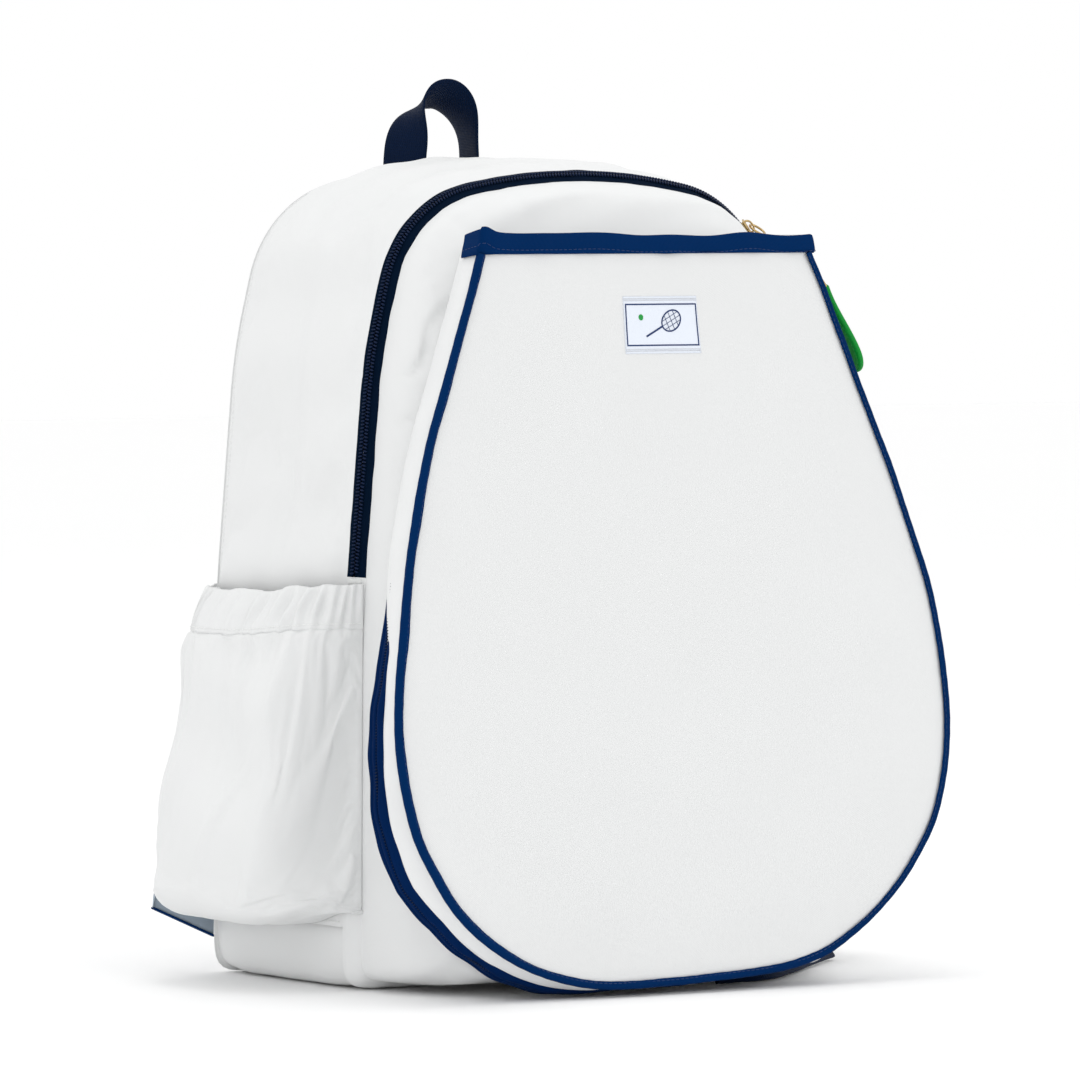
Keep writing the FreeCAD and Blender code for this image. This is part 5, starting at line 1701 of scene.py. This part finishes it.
def floor_webbing():
    """A folded navy webbing end that lies on the floor by the base's right front corner."""
    count = 60
    line = through([(38, -139, 0), (66, -138, 0), (102, -111, 0), (136, -80, 0), (171, -49, 0)], count)
    share = np.linspace(0, 1, count)
    tangent = unit(np.gradient(line, axis=0))
    lean = unit(np.stack([-tangent[:, 1] * 0.42, tangent[:, 0] * 0.42, np.ones(count)], -1))
    tall = 0.42 + 0.58 * smooth(0.5, 0.85, share)
    line[:, 2] = 0.4 + 5.0 * tall + 0.25 * np.sin(9 * share)
    flat = unit(np.cross(tangent, lean))
    section = rounded_box(5.0, 1.5, 1.0)
    P = (line[:, None] + lean[:, None] * section[None, :, :1] * tall[:, None, None]
         + flat[:, None] * section[None, :, 1:])
    P = P - tangent[:, None] * (section[None, :, :1] + 5.0) * 0.62 * share[:, None, None] ** 8
    P[..., 2] = np.maximum(P[..., 2], 0.15)
    shown(grid("webbing_end_folded", P, webbing_navy, close_v=True, caps=True), "bag", slot="navy_webbing")


floor_webbing()


def seam_rows():
    """Lock stitches beside the base seam and along the back seam."""
    y = np.linspace(-HALF_DEPTH + 2, HALF_DEPTH - 2, 120)
    for key, s0 in (("right", SIDE_FROM[0] + 2.6), ("left", SIDE_FROM[1] - 2.6)):
        P = gusset_points(np.array([s0]), y)[0]
        outward = np.array([1.0 if key == "right" else -1.0, 0, 0])
        shown(stitches("base_seam_thread_" + key, P + outward * 0.25, outward, white_thread, pitch=3.2), "bag")
    s = np.linspace(SIDE_FROM[0] + 6, SIDE_FROM[1] - 6, 900)
    P = gusset_points(s, np.array([HALF_DEPTH - 3.2]))[:, 0]
    n = arch.at(s)[1]
    outward = np.stack([n[:, 0], 0 * s, n[:, 1]], -1)
    shown(stitches("back_seam_thread", P + outward * 0.2, outward, white_thread, pitch=3.2), "bag")


seam_rows()


# ---- simulation, then what depends on its result ----------------------------

settle_all()
for o in (gusset_cloth, base_cloth, *pockets.values()):
    subdivide(o)
shown(gusset_cloth, "bag", "main_gusset", slot="white_nylon")
shown(base_cloth, "bag", "base_panel", slot="white_nylon")
shown(back_cloth, "bag", "back_panel_cover", "back_foam_pad", slot="pad_cloth")
for key, pocket_cloth in pockets.items():
    shown(thicken(pocket_cloth, 0.9), "bag", "side_pocket_" + key, slot="white_nylon")


# ---- looking up a piece by name ---------------------------------------------

def piece(name):
    return bpy.data.objects[name]


# ---- stage, light and camera ------------------------------------------------

def floor():
    material = Nodes("studio_floor", (0.995, 0.995, 0.995, 1), 0.6, Specular_IOR_Level=0.2)
    material.tint(material.spread(material.noise(900.0, 2.0), 0.995, 1.005))
    reach = np.linspace(-9000.0, 9000.0, 9)
    X, Y = np.meshgrid(reach, reach, indexing="ij")
    P = np.stack([X, Y, np.full_like(X, -0.3)], -1)
    o = grid("studio_floor", P, material.material, uv=np.stack([X, Y], -1))


def lamp(name, place, target, size, power, color=(1, 1, 1)):
    data = bpy.data.lights.new(name, "AREA")
    data.shape, data.size, data.energy, data.color = "SQUARE", size, power, color
    o = bpy.data.objects.new(name, data)
    bpy.context.scene.collection.objects.link(o)
    o.location = place
    o.rotation_euler = (Vector(target) - Vector(place)).to_track_quat("-Z", "Y").to_euler()


def studio():
    world = bpy.data.worlds.new("studio")
    bpy.context.scene.world = world
    world.use_nodes = True
    background = world.node_tree.nodes["Background"]
    background.inputs["Color"].default_value = (1.0, 1.0, 1.0, 1)
    background.inputs["Strength"].default_value = 1.0
    lamp("front", (2.4, -2.2, 1.2), (0, 0, 0.2), 1.5, 9.0)
    lamp("low", (-1.7, -2.4, 0.16), (-0.12, -0.1, 0.03), 0.8, 5.5)
    lamp("side", (-2.6, 2.2, 0.9), (0, 0, 0.2), 1.6, 2.0)
    lamp("above", (-0.1, 0.1, 3.0), (0, 0, 0.2), 1.2, 11.0)


def camera():
    """A long lens, so that the object's edges stay nearly parallel."""
    data = bpy.data.cameras.new("camera")
    data.lens, data.sensor_width = 300.0, 36.0
    data.clip_start, data.clip_end = 0.1, 60.0
    o = bpy.data.objects.new("camera", data)
    bpy.context.scene.collection.objects.link(o)
    bpy.context.scene.camera = o
    azimuth, elevation, distance = math.radians(-33.0), math.radians(2.37), 4.62
    back = Vector((math.sin(azimuth) * math.cos(elevation), -math.cos(azimuth) * math.cos(elevation),
                   math.sin(elevation)))
    o.location = Vector((-0.0202, -0.063, 0.226)) + back * distance
    o.rotation_mode = "QUATERNION"
    o.rotation_quaternion = (-back).to_track_quat("-Z", "Y")


floor()
studio()
camera()
bpy.context.scene.view_settings.view_transform = "Standard"
